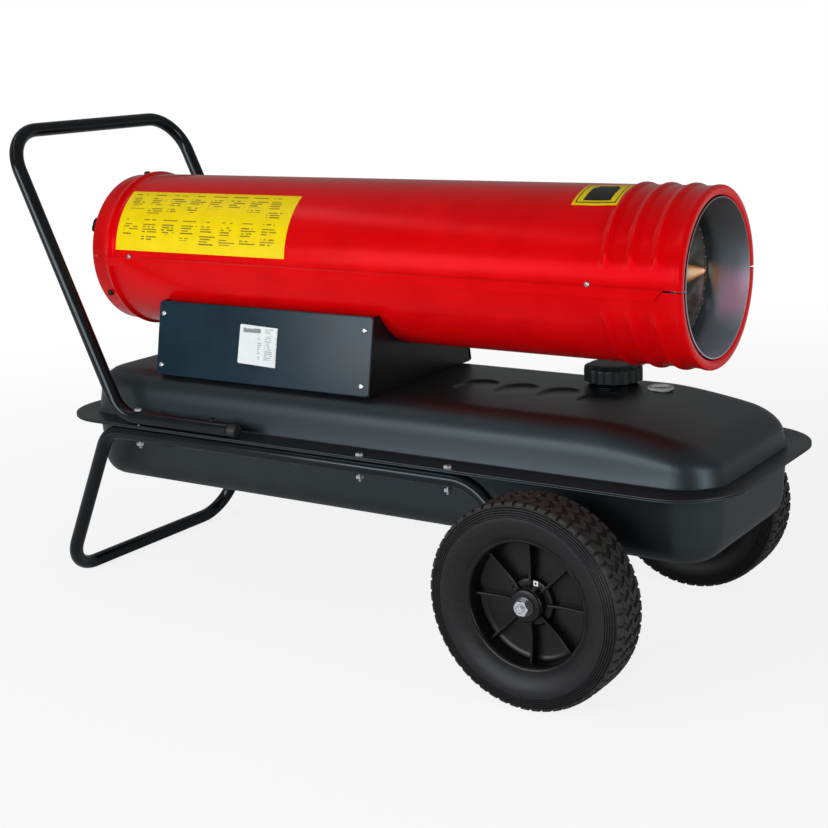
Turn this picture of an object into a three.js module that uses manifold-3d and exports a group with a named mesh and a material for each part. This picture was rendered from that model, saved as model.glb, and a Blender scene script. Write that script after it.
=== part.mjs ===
// A wheeled, oil-fired forced air heater: a red heater tube on a control box, a steel fuel tank,
// a bent tube stand with two pneumatic wheels, and a push handle.
// Millimetres, +Z up, the outlet faces +X, and the side with the cover plate faces -Y.
import * as THREE from "three";
import { mergeVertices } from "three/addons/utils/BufferGeometryUtils.js";
import Module from "manifold-3d";

const wasm = await Module();
wasm.setup();

/* ------------------------------------------------------------------ driving dimensions */

// Clearances
const seatGap = 0.3; // between two pieces that rest on each other
const runningGap = 0.12; // radial play of a shaft in its bore, at the corners of the facets
const movingGap = 1; // around a piece that turns or slides

// Wheels
const wheelRadius = 127;
const tyreWidth = 68;
const tyreClear = 14; // between the tyre and the side rails
const tyreWall = 8;
const beadRadius = 79;
const beadHalf = 19;
const rimLipProud = 2.5; // beyond the bead
const rimLip = 2.7;
const rimWall = 4.7;
const rimWeb = 4;
const ribCount = 8;
const ribThickness = 3;
const ribHeight = 15;
const hubRadius = 19;
const hubOuter = 21; // hub faces, from the tyre's middle
const hubInner = 25;
const bushWall = 2;
const wheelSegments = 24;

// Axle
const axleRadius = 6;
const axleCoreStep = 2; // how much thicker it is between the wheels
const axleThreadStep = 1; // and thinner at its threads
const axleTip = 35; // tip, from the tyre's middle
const washerWidth = 6; // beyond the axle
const washerThickness = 2;
const nutAcross = 17;
const nutHeight = 8;
const boltThreadGap = 0.15;

// Tank
const flangeTop = 254;
const flangeHalfWidth = 186;
const flangeCorner = 86;
const sheet = 2; // thickness of the tank's pressed shells
const flangeReach = { front: 25.5, rear: 24.7, side: 38 }; // beyond the tank's wall
const tankFront = 182;
const tankRear = -812;
const tankCorner = 58;
const tankTop = 317.5;
const tankDraft = 4;
const topShoulder = 38;
const noseStart = 10;
const noseDrop = 30;
const nosePower = 1.6;
const tankBottom = 156;
const bottomShoulder = 31;
const dimpleCount = 4;
const dimplePitch = 62;
const dimpleFront = -18;
const dimpleRadius = 27;
const dimpleLength = 72;
const dimpleMiddle = -5;
const dimpleDepth = 1.2;
const cornerSteps = 4; // facets of each round corner
const sideStations = [noseStart + 100, noseStart + 55, noseStart]; // where the long sides may bend
const shoulderSteps = 3;
const drainX = 110;
const drainRadius = 7;
const drainHead = 11;
const drainHeadHeight = 6;

// Filler and cap
const fillerX = -48;
const fillerY = 72;
const neckRadius = 27;
const neckWall = 2;
const neckTop = 332;
const neckFlange = 7; // width of its flange on the tank
const strainerInset = 5; // from the neck's outside
const strainerBottom = 262;
const strainerWall = 1.2;
const strainerRim = 1;
const sealThickness = 2;
const sealLap = 2; // the seal beyond the neck
const sealWidth = 5;
const capLap = 12; // the cap beyond the neck
const capBottom = 325;
const capHeight = 22;
const capScallops = 14;
const capScallopDepth = 2.2;
const capBevel = 3; // height of the sloping edge of its top
const capBevelWidth = 7;

// Fuel gauge
const gaugeX = 20;
const gaugeBezel = 17;
const gaugeBody = 14;
const gaugeStem = 1.2;
const gaugeDial = 11;
const bezelHeight = 3.4;
const floatRadius = 12;
const floatHeight = 16;
const floatTravel = 100;
const stemBottom = 166;
const floatRise = 8; // above the foot of the stem, when the tank is empty
const dialThickness = 0.8;
const lensThickness = 1;
const gaugeTail = 14; // below the tank's top

// Frame
const tubeRadius = 10;
const tubeWall = 1.5;
const railInset = 7; // side rails, from the flange's edge
const standFrontX = -120;
const standRearX = -731;
const standFrontBend = 60;
const standRearBend = 40;
const footX = -836;
const footBend = 55;
const eyeWall = 4; // the axle's eyes, beyond the tube
const eyeWidth = 20;
const handleEndX = -500;
const handleBendX = -703;
const handleBend = 48;
const handleTopX = -890;
const handleTopZ = 663.5;
const handleTopBend = 60;
const plugHead = 13;
const plugStem = 15;
const tubeSides = 12; // facets of the bent tubes, outside
const boreSides = 6; // and inside
const bendSteps = 4;

// Flange bolts, M6
const boltRadius = 3;
const boltHead = 5.8;
const boltHeadHeight = 4;
const boltNutHeight = 5;
const boltTail = 4;
const boltStations = [-668, -530, -285, -151];
const shortBolt = 1; // the station whose bolt holds only the handle to the flanges
const boltSides = 6;

// Heater tube
const casingRadius = 110;
const casingWall = 1.6;
const tubeRise = 51.6; // the heater tube's lowest line, above the box's floor
const outletX = 131;
const casingRear = -805;
const rearTaper = 1.5;
const beadX = -770;
const beadHeight = 4.5;
const beadWidth = 14;
const ribX = [32, 64.5, 97];
const casingRibHeight = 3;
const casingRibWidth = 17;
const lipProud = 2;
const lipLength = 9;
const mouthInset = 11.5;
const seamGap = 5; // the open slot at the outlet end
const stripHeight = 12.5;
const stripProud = 2.6;
const stripFront = 106;
const stripRear = -790;
const seamScrewX = [-729, 10.6];
const seamScrewRise = 5;
const tubeSegments = 40;
const chamberSegments = 28;

// Combustion chamber
const chamberRear = -400;
const chamberInset = 18; // the cooling air's gap, with both walls
const chamberWall = 1.5;
const flareX = 88;
const burnerHole = 40;
const lugCount = 3;
const lugWidth = 14;
const lugThickness = 2;
const lugStep = 30; // from the chamber's rear
const baffleX = 79;
const baffleRadius = 80;
const baffleRim = 10; // the flat ring outside its cone
const baffleHole = 45;
const baffleDepth = 12; // how far the cone dips towards the burner
const baffleTabs = 3;
const headLip = 4; // the burner head's flange, beyond its hole
const headDepth = 12;
const headSheet = 2;
const sensorRadius = 5;
const sensorOffset = 27;
const electrodeBody = 6;
const electrodeRise = 24;
const electrodePin = 1.2;
const electrodeSpread = 3;

// Motor, pump and fan
const motorFront = -615;
const motorRear = -735;
const motorRadius = 48;
const motorWall = 3;
const statorInner = 30;
const rotorRadius = 28;
const shaftRadius = 5;
const shaftFront = -560;
const motorEnd = 10; // thickness of the motor's end shields at the shaft
const windingsInset = 25; // stator, from each end of the motor
const pumpRear = -775;
const pumpRadius = 43;
const pumpCavity = 30;
const pumpRotorRadius = 27;
const pumpRotorWidth = 20;
const pumpWall = 6;
const pumpCover = 5;
const fanX = -578;
const fanInset = 9; // from the outside of the casing
const fanHub = 20;
const fanHubLength = 26;
const bladeCount = 5;
const bladeWidth = 46;
const bladeThickness = 2;
const bladePitch = 38; // degrees
const bracketFront = -630;
const bracketRear = -700;
const bracketHalf = 26;
const bracketWall = 4;

// Rear guard
const guardRing = 2.6;
const guardInnerRings = [30, 67];
const guardInset = 6; // outermost ring, from the outside of the casing
const guardBars = 6;
const guardX = -799;
const guardScrewAngles = [90, -30, 210]; // degrees above the near side
const guardScrewX = -787;
const guardScrewHead = 5;
const guardScrewProud = 4;
const hookAngle = 25;
const guardLug = [16, 12, 3]; // along the tube, across it and thick
const guardHook = [16, 22, 6];

// Control box
const boxFront = -304;
const boxRear = -674;
const boxTop = 421;
const boxHalfTop = 110.2;
const boxHalfBottom = 129.2;
const boxSheet = 1.5;
const coverOverhang = 1;
const coverScrewInset = 9;
const coverScrewTop = 15;
const coverScrewBottom = 17;
const coverScrewRadius = 4.2;
const coverScrewHeight = 2;
const coverScrewTaper = 0.7;
const switchX = -560;
const switchHalfLength = 9;
const switchHalfWidth = 14;
const switchTravel = 12; // degrees
const switchDepth = 7;
const switchProud = 3;
const switchFrame = 4; // width of the raised frame at each side
const switchFrameHeight = 1.6;
const knobX = -440;
const knobRadius = 18;
const knobHeight = 14;
const knobShaft = 3;
const knobShaftLength = 8;
const knobGrip = [5, 4, 5]; // width, inset and height of the grip bar
const glandY = 45;
const glandZ = 345;
const glandRadius = 11;
const glandBore = 4;
const glandStem = 8;
const glandLength = 18;
const glandCone = 6;
const transformer = { x0: -400, x1: -330, y0: -70, y1: -25, height: 45 };
const board = { x0: -645, x1: -525, y0: -100, y1: -30, thickness: 2 };
const boardLeg = 5;
const boardLegInset = 5;
const boardRise = 11;

// Fuel and air lines
const lineX = -440;
const hoseRadius = 3.5;
const hoseWall = 1;
const pickupRadius = 7;
const nozzleFront = -398;
const nozzleBlock = 11;
const nozzleTip = 5;
const nozzleTipReach = 8;
const pickupLength = 14;
const pickupRise = 8; // above the tank's bottom
const pipeCollar = 6; // beyond the pipe
const airHoseY = 30;
const airHoseZ = 345;
const airHoseDropX = -609;
const airHoseRiseX = -470;
const airHoseLow = 24; // above the bottom of the tube
const hoseBend = 12;
const lineHole = 8; // room round the pipe in the box's floor

// The radius left clear inside a faceted round bore.
const inscribed = (radius, sides) => radius * Math.cos(Math.PI / sides);

/* ------------------------------------------------------------------ derived sizes */

const flangeFront = tankFront + flangeReach.front;
const flangeRear = tankRear - flangeReach.rear;
const tankHalfWidth = flangeHalfWidth - flangeReach.side;
const railSide = flangeHalfWidth - railInset;
const tyreMiddle = railSide + tubeRadius + tyreClear + tyreWidth / 2;
const rimLipRadius = beadRadius + rimLipProud;
const axleCoreRadius = axleRadius + axleCoreStep;
const axleThreadRadius = axleRadius - axleThreadStep;
const washerRadius = axleRadius + washerWidth;
const eyeRadius = tubeRadius + eyeWall;
const neckCollar = neckRadius + neckFlange;
const strainerRadius = neckRadius - strainerInset;
const capRadius = neckRadius + capLap;
const rearRadius = casingRadius - rearTaper;
const lipRadius = casingRadius + lipProud;
const mouthRadius = casingRadius - mouthInset;
const chamberRadius = casingRadius - chamberInset;
const fanRadius = casingRadius - fanInset;
const guardRings = [...guardInnerRings, casingRadius - guardInset];
const lowerFlangeTop = flangeTop - sheet - seatGap;
const lowerFlangeBottom = lowerFlangeTop - sheet;
const standRailZ = lowerFlangeBottom - seatGap - tubeRadius;
const handleRailZ = flangeTop + seatGap + tubeRadius;
const boxFloor = tankTop + seatGap;
const casingAxisZ = boxFloor + tubeRise + casingRadius;
const neckSeat = tankTop + seatGap;
const sealBottom = neckTop + 2 * seatGap + strainerRim;
const sealTop = sealBottom + sealThickness;
const gaugeDialZ = neckSeat + 1;
const bushOuter = axleRadius + runningGap + bushWall;
const nozzleBore = nozzleBlock + seatGap;
const shaftBore = shaftRadius + runningGap;
const panelMiddle = (boxTop + boxFloor) / 2;
const insideFloor = boxFloor + boxSheet + seatGap;
const pipeTop = boxFloor + 20;
const mouthInner = inscribed(mouthRadius, tubeSegments) - seatGap;
const casingBore = casingRadius - casingWall;
const taperX = beadX - beadWidth / 2 - 6; // the tube narrows from here to its rear end
const coverLean = Math.atan2(boxHalfBottom - boxHalfTop, boxTop - boxFloor);
const tubeBore = inscribed(tubeRadius - tubeWall, boreSides);
const bodyMiddleX = (flangeFront + handleTopX - tubeRadius) / 2;

/* ------------------------------------------------------------------ geometry helpers */

const degrees = THREE.MathUtils.degToRad;
const point = (x, y, z) => new THREE.Vector3(x, y, z);

// A closed three.js geometry as a solid, with its faces turned outwards.
function solid(geometry) {
  const bare = new THREE.BufferGeometry();
  bare.setAttribute("position", geometry.getAttribute("position"));
  bare.setIndex(geometry.index);
  const merged = mergeVertices(bare, 1e-4);
  const corners = merged.getAttribute("position").array;
  const all = merged.index.array;
  const kept = [];
  let volume = 0;
  for (let i = 0; i < all.length; i += 3) {
    const [a, b, c] = [all[i], all[i + 1], all[i + 2]];
    if (a === b || b === c || c === a) continue;
    kept.push(a, b, c);
    const [pa, pb, pc] = [a, b, c].map((k) => point(...corners.subarray(3 * k, 3 * k + 3)));
    volume += pa.dot(pb.cross(pc));
  }
  if (volume < 0) kept.reverse();
  const mesh = new wasm.Mesh({
    numProp: 3,
    vertProperties: new Float32Array(corners),
    triVerts: new Uint32Array(kept),
  });
  return new wasm.Manifold(mesh);
}

// A solid as flat-shaded three.js geometry.
function geometryOf(body) {
  const mesh = body.getMesh();
  const positions = new Float32Array(mesh.numVert * 3);
  for (let i = 0; i < mesh.numVert; i++) {
    const from = i * mesh.numProp;
    positions.set(mesh.vertProperties.subarray(from, from + 3), i * 3);
  }
  const geometry = new THREE.BufferGeometry();
  geometry.setAttribute("position", new THREE.BufferAttribute(positions, 3));
  geometry.setIndex(new THREE.BufferAttribute(mesh.triVerts, 1));
  const flat = geometry.toNonIndexed();
  flat.computeVertexNormals();
  return flat;
}

const joined = (...bodies) => bodies.reduce((whole, body) => whole.add(body));
const without = (body, ...tools) => tools.reduce((rest, tool) => rest.subtract(tool), body);

// A box between two opposite corners.
function block(x0, x1, y0, y1, z0, z1) {
  const geometry = new THREE.BoxGeometry(x1 - x0, y1 - y0, z1 - z0);
  geometry.translate((x0 + x1) / 2, (y0 + y1) / 2, (z0 + z1) / 2);
  return solid(geometry);
}

// A round bar between two points.
function rod(radius, from, to, sides = 16) {
  const way = to.clone().sub(from);
  const geometry = new THREE.CylinderGeometry(radius, radius, way.length(), sides);
  const turn = new THREE.Quaternion().setFromUnitVectors(point(0, 1, 0), way.normalize());
  geometry.applyQuaternion(turn);
  const middle = from.clone().add(to).multiplyScalar(0.5);
  geometry.translate(middle.x, middle.y, middle.z);
  return solid(geometry);
}

// A closed profile of [radius, height] pairs, turned about +Z.
function turned(profile, segments = 24) {
  const points = profile.map(([radius, height]) => new THREE.Vector2(radius, height));
  const [first, last] = [points[0], points.at(-1)];
  if (first.x > 0 || last.x > 0) points.push(first.clone());
  const geometry = new THREE.LatheGeometry(points, segments);
  geometry.rotateX(Math.PI / 2);
  geometry.rotateZ(Math.PI / 2);
  return geometry;
}

const turnedUp = (profile, x, y, segments) => solid(turned(profile, segments).translate(x, y, 0));

// The same profile about the heater tube's axis, with heights along +X.
function turnedOnAxis(profile, segments) {
  const geometry = turned(profile, segments);
  geometry.rotateY(Math.PI / 2);
  geometry.translate(0, 0, casingAxisZ);
  return solid(geometry);
}

// A wheel piece: a profile about the axle, with heights away from the centre plane.
function placedOnAxle(geometry, side) {
  geometry.rotateX((-side * Math.PI) / 2);
  geometry.translate(0, side * tyreMiddle, wheelRadius);
  return solid(geometry);
}

// A flat outline in X and Y, raised from one height to another.
function raised(outline, z0, z1) {
  const shape = new THREE.Shape(outline.map(([x, y]) => new THREE.Vector2(x, y)));
  const geometry = new THREE.ExtrudeGeometry(shape, { depth: z1 - z0, bevelEnabled: false });
  geometry.translate(0, 0, z0);
  return solid(geometry);
}

// An outline in Y and Z, drawn out along X.
function drawnAlongX(outline, x0, x1) {
  const shape = new THREE.Shape(outline.map(([y, z]) => new THREE.Vector2(y, z)));
  const geometry = new THREE.ExtrudeGeometry(shape, { depth: x1 - x0, bevelEnabled: false });
  geometry.rotateX(Math.PI / 2);
  geometry.rotateZ(Math.PI / 2);
  geometry.translate(x0, 0, 0);
  return solid(geometry);
}

// A path of straight runs joined by round bends; its stations lie only where it turns.
class BentPath extends THREE.Curve {
  constructor(corners, steps) {
    super();
    this.stations = [];
    corners.forEach(({ at, bend }, i) => {
      if (i === 0 || i === corners.length - 1) {
        const next = corners[i === 0 ? 1 : i - 1].at;
        const way = next.clone().sub(at).normalize();
        this.stations.push({ at, way: i === 0 ? way : way.negate() });
        return;
      }
      const before = at.clone().sub(corners[i - 1].at).normalize();
      const after = corners[i + 1].at.clone().sub(at).normalize();
      const angle = before.angleTo(after);
      const run = bend * Math.tan(angle / 2);
      const start = at.clone().addScaledVector(before, -run);
      const inward = after.clone().addScaledVector(before, -after.dot(before)).normalize();
      const centre = start.clone().addScaledVector(inward, bend);
      for (let k = 0; k <= steps; k++) {
        const turn = (angle * k) / steps;
        const onArc = centre.clone().addScaledVector(inward, -bend * Math.cos(turn));
        onArc.addScaledVector(before, bend * Math.sin(turn));
        const way = before.clone().multiplyScalar(Math.cos(turn));
        way.addScaledVector(inward, Math.sin(turn));
        this.stations.push({ at: onArc, way });
      }
    });
  }

  station(share) {
    return this.stations[Math.round(share * (this.stations.length - 1))];
  }

  getPoint(share) {
    return this.station(share).at.clone();
  }

  getPointAt(share) {
    return this.getPoint(share);
  }

  getTangentAt(share) {
    return this.station(share).way.clone();
  }
}

// A hollow tube along a bent path.
function bentTube(corners, radius, wall, { outside, inside, steps }) {
  const path = new BentPath(corners, steps);
  const circle = (r, sides) =>
    Array.from({ length: sides }, (_, k) => {
      const angle = (2 * Math.PI * k) / sides;
      return new THREE.Vector2(r * Math.cos(angle), r * Math.sin(angle));
    });
  const section = new THREE.Shape(circle(radius, outside));
  section.holes.push(new THREE.Path(circle(radius - wall, inside).reverse()));
  const options = { steps: path.stations.length - 1, extrudePath: path, bevelEnabled: false };
  return solid(new THREE.ExtrudeGeometry(section, options));
}

// A skin between successive rings that all have the same number of points, which run from front to
// rear on the near side and back on the far side. Its two ends are closed straight across.
function lofted(rings) {
  const count = rings[0].length;
  const positions = rings.flat().flatMap((p) => [p.x, p.y, p.z]);
  const faces = [];
  for (let r = 0; r + 1 < rings.length; r++) {
    for (let i = 0; i < count; i++) {
      const j = (i + 1) % count;
      const [a, b] = [r * count + i, r * count + j];
      faces.push(a, b, b + count, a, b + count, a + count);
    }
  }
  const close = (base, flip) => {
    for (let i = 0; i + 1 < count / 2; i++) {
      const quad = [base + i, base + i + 1, base + count - 2 - i, base + count - 1 - i];
      const [a, b, c, d] = flip ? quad.reverse() : quad;
      faces.push(a, b, c, a, c, d);
    }
  };
  close(0, true);
  close((rings.length - 1) * count, false);
  const geometry = new THREE.BufferGeometry();
  geometry.setAttribute("position", new THREE.Float32BufferAttribute(positions, 3));
  geometry.setIndex(faces);
  return solid(geometry);
}

/* ------------------------------------------------------------------ the tank */

// The outline of a flange or a wall at one height, drawn in from its full size.
function tankRing({ front, rear, half, corner }, inset, z) {
  const radius = corner - inset;
  const near = [];
  for (let k = 0; k <= cornerSteps; k++) {
    const angle = (Math.PI / 2) * (k / cornerSteps);
    const along = front - corner + radius * Math.cos(angle);
    near.push(point(along, -(half - corner) - radius * Math.sin(angle), z));
  }
  for (const x of sideStations) {
    if (x < front - corner && x > rear + corner) near.push(point(x, -(half - inset), z));
  }
  for (let k = 0; k <= cornerSteps; k++) {
    const angle = (Math.PI / 2) * (k / cornerSteps);
    const along = rear + corner - radius * Math.sin(angle);
    near.push(point(along, -(half - corner) - radius * Math.cos(angle), z));
  }
  const far = near.map((p) => point(p.x, -p.y, p.z)).reverse();
  return [...near, ...far];
}

// Wall, round shoulder and flat of one tank shell, from the flange away, as [inset, height] pairs.
function shellProfile(height, draft, shoulder) {
  const pairs = [[0, 0]];
  for (let k = 0; k <= shoulderSteps; k++) {
    const angle = (Math.PI / 2) * (k / shoulderSteps);
    const inset = draft + shoulder * (1 - Math.cos(angle));
    pairs.push([inset, height - shoulder + shoulder * Math.sin(angle)]);
  }
  return pairs;
}

const flangeOutline = { front: flangeFront, rear: flangeRear, half: flangeHalfWidth, corner: flangeCorner };
const wallOutline = { front: tankFront, rear: tankRear, half: tankHalfWidth, corner: tankCorner };

// One shell: the outer skin, the flange edge, and the inner skin one sheet inside.
function tankShell(seam, way, height, shoulder) {
  const outer = shellProfile(height - sheet, tankDraft, shoulder);
  const inner = shellProfile(height - sheet, tankDraft, shoulder - sheet);
  const skin = (pairs, inset, base) =>
    pairs.map(([d, h]) => tankRing(wallOutline, d + inset, base + way * h));
  const outerRings = skin(outer, 0, seam + way * sheet);
  const innerRings = skin(inner, sheet, seam).reverse();
  const edge = [
    tankRing(flangeOutline, 0, seam),
    tankRing(flangeOutline, 0, seam + way * sheet),
  ];
  return [...innerRings, ...edge, ...outerRings];
}

// How far the tank's top has dropped at a place along the nose, as a share of its height.
function noseShare(x) {
  const along = Math.max(0, (x - noseStart) / (tankFront - noseStart));
  return 1 - (noseDrop / (tankTop - flangeTop)) * Math.min(1, along) ** nosePower;
}

function dimple(centreX) {
  const half = dimpleLength / 2 - dimpleRadius;
  const steps = 6;
  const outline = [];
  for (const end of [1, -1]) {
    for (let k = 0; k <= steps; k++) {
      const angle = (Math.PI * k) / steps + (end < 0 ? Math.PI : 0);
      const y = dimpleMiddle + end * half + dimpleRadius * Math.sin(angle);
      outline.push([centreX + dimpleRadius * Math.cos(angle), y]);
    }
  }
  return raised(outline, tankTop - dimpleDepth, tankTop + 1);
}

// Vertical clearance holes for the flange bolts, on both sides.
function boltHoles(z0, z1) {
  const radius = boltRadius + seatGap;
  return [-1, 1].flatMap((side) =>
    boltStations.map((x) => {
      const at = (z) => point(x, side * railSide, z);
      return rod(radius, at(z0), at(z1), boltSides);
    }),
  );
}

function tankUpperShell() {
  const rings = tankShell(flangeTop - sheet, 1, tankTop - flangeTop + sheet, topShoulder);
  for (const ring of rings) {
    for (const p of ring) {
      if (p.z > flangeTop) p.z = flangeTop + (p.z - flangeTop) * noseShare(p.x);
    }
  }
  const [below, above] = [flangeTop - 3 * sheet, tankTop + 3];
  const hole = (x, y, radius) => rod(radius, point(x, y, below), point(x, y, above), 20);
  const dimples = Array.from({ length: dimpleCount }, (_, k) => dimple(dimpleFront - k * dimplePitch));
  return without(
    lofted(rings),
    ...dimples,
    hole(fillerX, fillerY, neckRadius + seatGap),
    hole(gaugeX, fillerY, gaugeBody + seatGap),
    hole(lineX, 0, pickupRadius + seatGap),
    ...boltHoles(flangeTop - 2 * sheet, flangeTop + sheet),
  );
}

function tankLowerShell() {
  const rings = tankShell(lowerFlangeTop, -1, lowerFlangeTop - tankBottom, bottomShoulder);
  const onDrain = (z) => point(drainX, 0, z);
  const drain = rod(drainRadius + seatGap, onDrain(tankBottom - 5), onDrain(tankBottom + 5), 16);
  return without(lofted(rings), drain, ...boltHoles(lowerFlangeBottom - 1, lowerFlangeTop + 1));
}

function drainPlug() {
  const seat = tankBottom - seatGap;
  const profile = [
    [0, seat - drainHeadHeight],
    [drainHead, seat - drainHeadHeight],
    [drainHead, seat],
    [drainRadius, seat],
    [drainRadius, tankBottom + 3 * sheet],
    [0, tankBottom + 3 * sheet],
  ];
  return turnedUp(profile, drainX, 0, 12);
}

function fillerNeck() {
  const inner = neckRadius - neckWall;
  const tail = tankTop - 8;
  const profile = [
    [inner, tail],
    [neckRadius, tail],
    [neckRadius, neckSeat],
    [neckCollar, neckSeat],
    [neckCollar, neckSeat + neckWall],
    [neckRadius, neckSeat + neckWall],
    [neckRadius, neckTop],
    [inner, neckTop],
  ];
  return turnedUp(profile, fillerX, fillerY, 20);
}

function fillerStrainer() {
  const rimBottom = neckTop + seatGap;
  const inner = strainerRadius - strainerWall;
  const profile = [
    [0, strainerBottom],
    [strainerRadius, strainerBottom],
    [strainerRadius, rimBottom],
    [neckRadius, rimBottom],
    [neckRadius, rimBottom + strainerRim],
    [inner, rimBottom + strainerRim],
    [inner, strainerBottom + strainerWall],
    [0, strainerBottom + strainerWall],
  ];
  return turnedUp(profile, fillerX, fillerY, 20);
}

function capSeal() {
  const outer = neckRadius + sealLap;
  const inner = outer - sealWidth;
  const profile = [
    [inner, sealBottom],
    [outer, sealBottom],
    [outer, sealTop],
    [inner, sealTop],
  ];
  return turnedUp(profile, fillerX, fillerY, 24);
}

function fuelCap() {
  const outline = [];
  const perScallop = 3;
  for (let k = 0; k < capScallops * perScallop; k++) {
    const angle = (2 * Math.PI * k) / (capScallops * perScallop);
    const radius = capRadius - capScallopDepth * (0.5 + 0.5 * Math.cos(capScallops * angle)) ** 2;
    outline.push([fillerX + radius * Math.cos(angle), fillerY + radius * Math.sin(angle)]);
  }
  const skirtTop = capBottom + capHeight - capBevel;
  const crown = [
    [0, skirtTop - 1],
    [capRadius - capScallopDepth - 0.4, skirtTop - 1],
    [capRadius - capScallopDepth - 0.4, skirtTop],
    [capRadius - capBevelWidth, capBottom + capHeight],
    [0, capBottom + capHeight],
  ];
  const cavity = rod(
    neckRadius + sealThickness + movingGap,
    point(fillerX, fillerY, capBottom - 1),
    point(fillerX, fillerY, sealTop + seatGap),
    24,
  );
  const body = joined(raised(outline, capBottom, skirtTop), turnedUp(crown, fillerX, fillerY, 28));
  return without(body, cavity);
}

function gaugeBodyPiece() {
  const tail = tankTop - gaugeTail;
  const pocket = gaugeDial + movingGap;
  const stemHole = gaugeStem + seatGap;
  const profile = [
    [stemHole, tail],
    [gaugeBody, tail],
    [gaugeBody, neckSeat],
    [gaugeBezel, neckSeat],
    [gaugeBezel, neckSeat + bezelHeight],
    [pocket, neckSeat + bezelHeight],
    [pocket, gaugeDialZ - seatGap],
    [stemHole, gaugeDialZ - seatGap],
  ];
  return turnedUp(profile, gaugeX, fillerY, 20);
}

function gaugeLens() {
  const radius = gaugeDial + movingGap - seatGap;
  const top = neckSeat + bezelHeight;
  const profile = [
    [0, top - lensThickness],
    [radius, top - lensThickness],
    [radius, top],
    [0, top],
  ];
  return turnedUp(profile, gaugeX, fillerY, 24);
}

function gaugeNeedle() {
  const at = (z) => point(gaugeX, fillerY, z);
  const disc = rod(gaugeDial, at(gaugeDialZ), at(gaugeDialZ + dialThickness), 16);
  const stem = rod(gaugeStem, at(stemBottom), at(gaugeDialZ + dialThickness / 4), 8);
  return joined(disc, stem);
}

function gaugeFloat() {
  const bottom = stemBottom + floatRise;
  const bore = gaugeStem + seatGap;
  const profile = [
    [bore, bottom],
    [floatRadius, bottom],
    [floatRadius, bottom + floatHeight],
    [bore, bottom + floatHeight],
  ];
  return turnedUp(profile, gaugeX, fillerY, 16);
}

/* ------------------------------------------------------------------ frame and wheels */

const frameFacets = { outside: tubeSides, inside: boreSides, steps: bendSteps };
const hoseFacets = { outside: 8, inside: 6, steps: 2 };

const mirroredPath = (half) => [
  ...half.map(({ at, bend }) => ({ at: point(at.x, -at.y, at.z), bend })),
  ...[...half].reverse(),
];

function standFrame() {
  const half = [
    { at: point(0, railSide, wheelRadius) },
    { at: point(standFrontX, railSide, standRailZ), bend: standFrontBend },
    { at: point(standRearX, railSide, standRailZ), bend: standRearBend },
    { at: point(footX, railSide, tubeRadius), bend: footBend },
  ];
  const tube = bentTube(mirroredPath(half), tubeRadius, tubeWall, frameFacets);
  const across = (side, radius, reach) =>
    rod(
      radius,
      point(0, side * (railSide - reach), wheelRadius),
      point(0, side * (railSide + reach), wheelRadius),
      12,
    );
  const eyes = [-1, 1].map((side) => across(side, eyeRadius, eyeWidth / 2));
  const bores = [-1, 1].map((side) => across(side, axleCoreRadius + 2 * seatGap, eyeWidth));
  const holes = boltHoles(standRailZ - 2 * tubeRadius, standRailZ + 2 * tubeRadius);
  const drilled = holes.filter((_, k) => k % boltStations.length !== shortBolt);
  return without(joined(tube, ...eyes), ...bores, ...drilled);
}

function pushHandle() {
  const half = [
    { at: point(handleEndX, railSide, handleRailZ) },
    { at: point(handleBendX, railSide, handleRailZ), bend: handleBend },
    { at: point(handleTopX, railSide, handleTopZ), bend: handleTopBend },
  ];
  const tube = bentTube(mirroredPath(half), tubeRadius, tubeWall, frameFacets);
  return without(tube, ...boltHoles(handleRailZ - 2 * tubeRadius, handleRailZ + 2 * tubeRadius));
}

function handleEndCap(side) {
  const stem = tubeBore - seatGap;
  const face = handleEndX + seatGap;
  const profile = [
    [0, face - plugStem],
    [stem, face - plugStem],
    [stem, face],
    [tubeRadius - seatGap, face],
    [tubeRadius - seatGap, face + plugHead - 2],
    [tubeRadius - 2, face + plugHead],
    [0, face + plugHead],
  ];
  const geometry = turned(profile, 16);
  geometry.rotateY(Math.PI / 2);
  geometry.translate(0, side * railSide, handleRailZ);
  return solid(geometry);
}

// A bolt stands on the handle rail or the flange and reaches the stand rail or the lower flange.
function flangeBolt(side, x) {
  const onHandle = x < handleEndX;
  const short = x === boltStations[shortBolt];
  const seat = (onHandle ? handleRailZ + tubeRadius : flangeTop) + seatGap;
  const underside = standRailZ - tubeRadius - seatGap;
  const bottom = short ? lowerFlangeBottom + seatGap : underside - boltNutHeight - boltTail;
  const at = (z) => point(x, side * railSide, z);
  const head = rod(boltHead, at(seat), at(seat + boltHeadHeight), 6);
  const shank = rod(boltRadius, at(bottom), at(seat + 1), boltSides);
  if (short) return joined(shank, head);
  return joined(shank, head, rod(boltHead, at(underside - boltNutHeight), at(underside), 6));
}

function axle() {
  const shoulder = tyreMiddle - hubInner - seatGap;
  const thread = tyreMiddle + hubOuter;
  const tip = tyreMiddle + axleTip;
  const half = [
    [axleThreadRadius, tip],
    [axleThreadRadius, thread],
    [axleRadius, thread],
    [axleRadius, shoulder],
    [axleCoreRadius, shoulder],
  ];
  const other = half.map(([radius, y]) => [radius, -y]).reverse();
  const geometry = turned([[0, tip], ...half, ...other, [0, -tip]], 24);
  geometry.rotateX(Math.PI / 2);
  geometry.translate(0, 0, wheelRadius);
  return solid(geometry);
}

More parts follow.
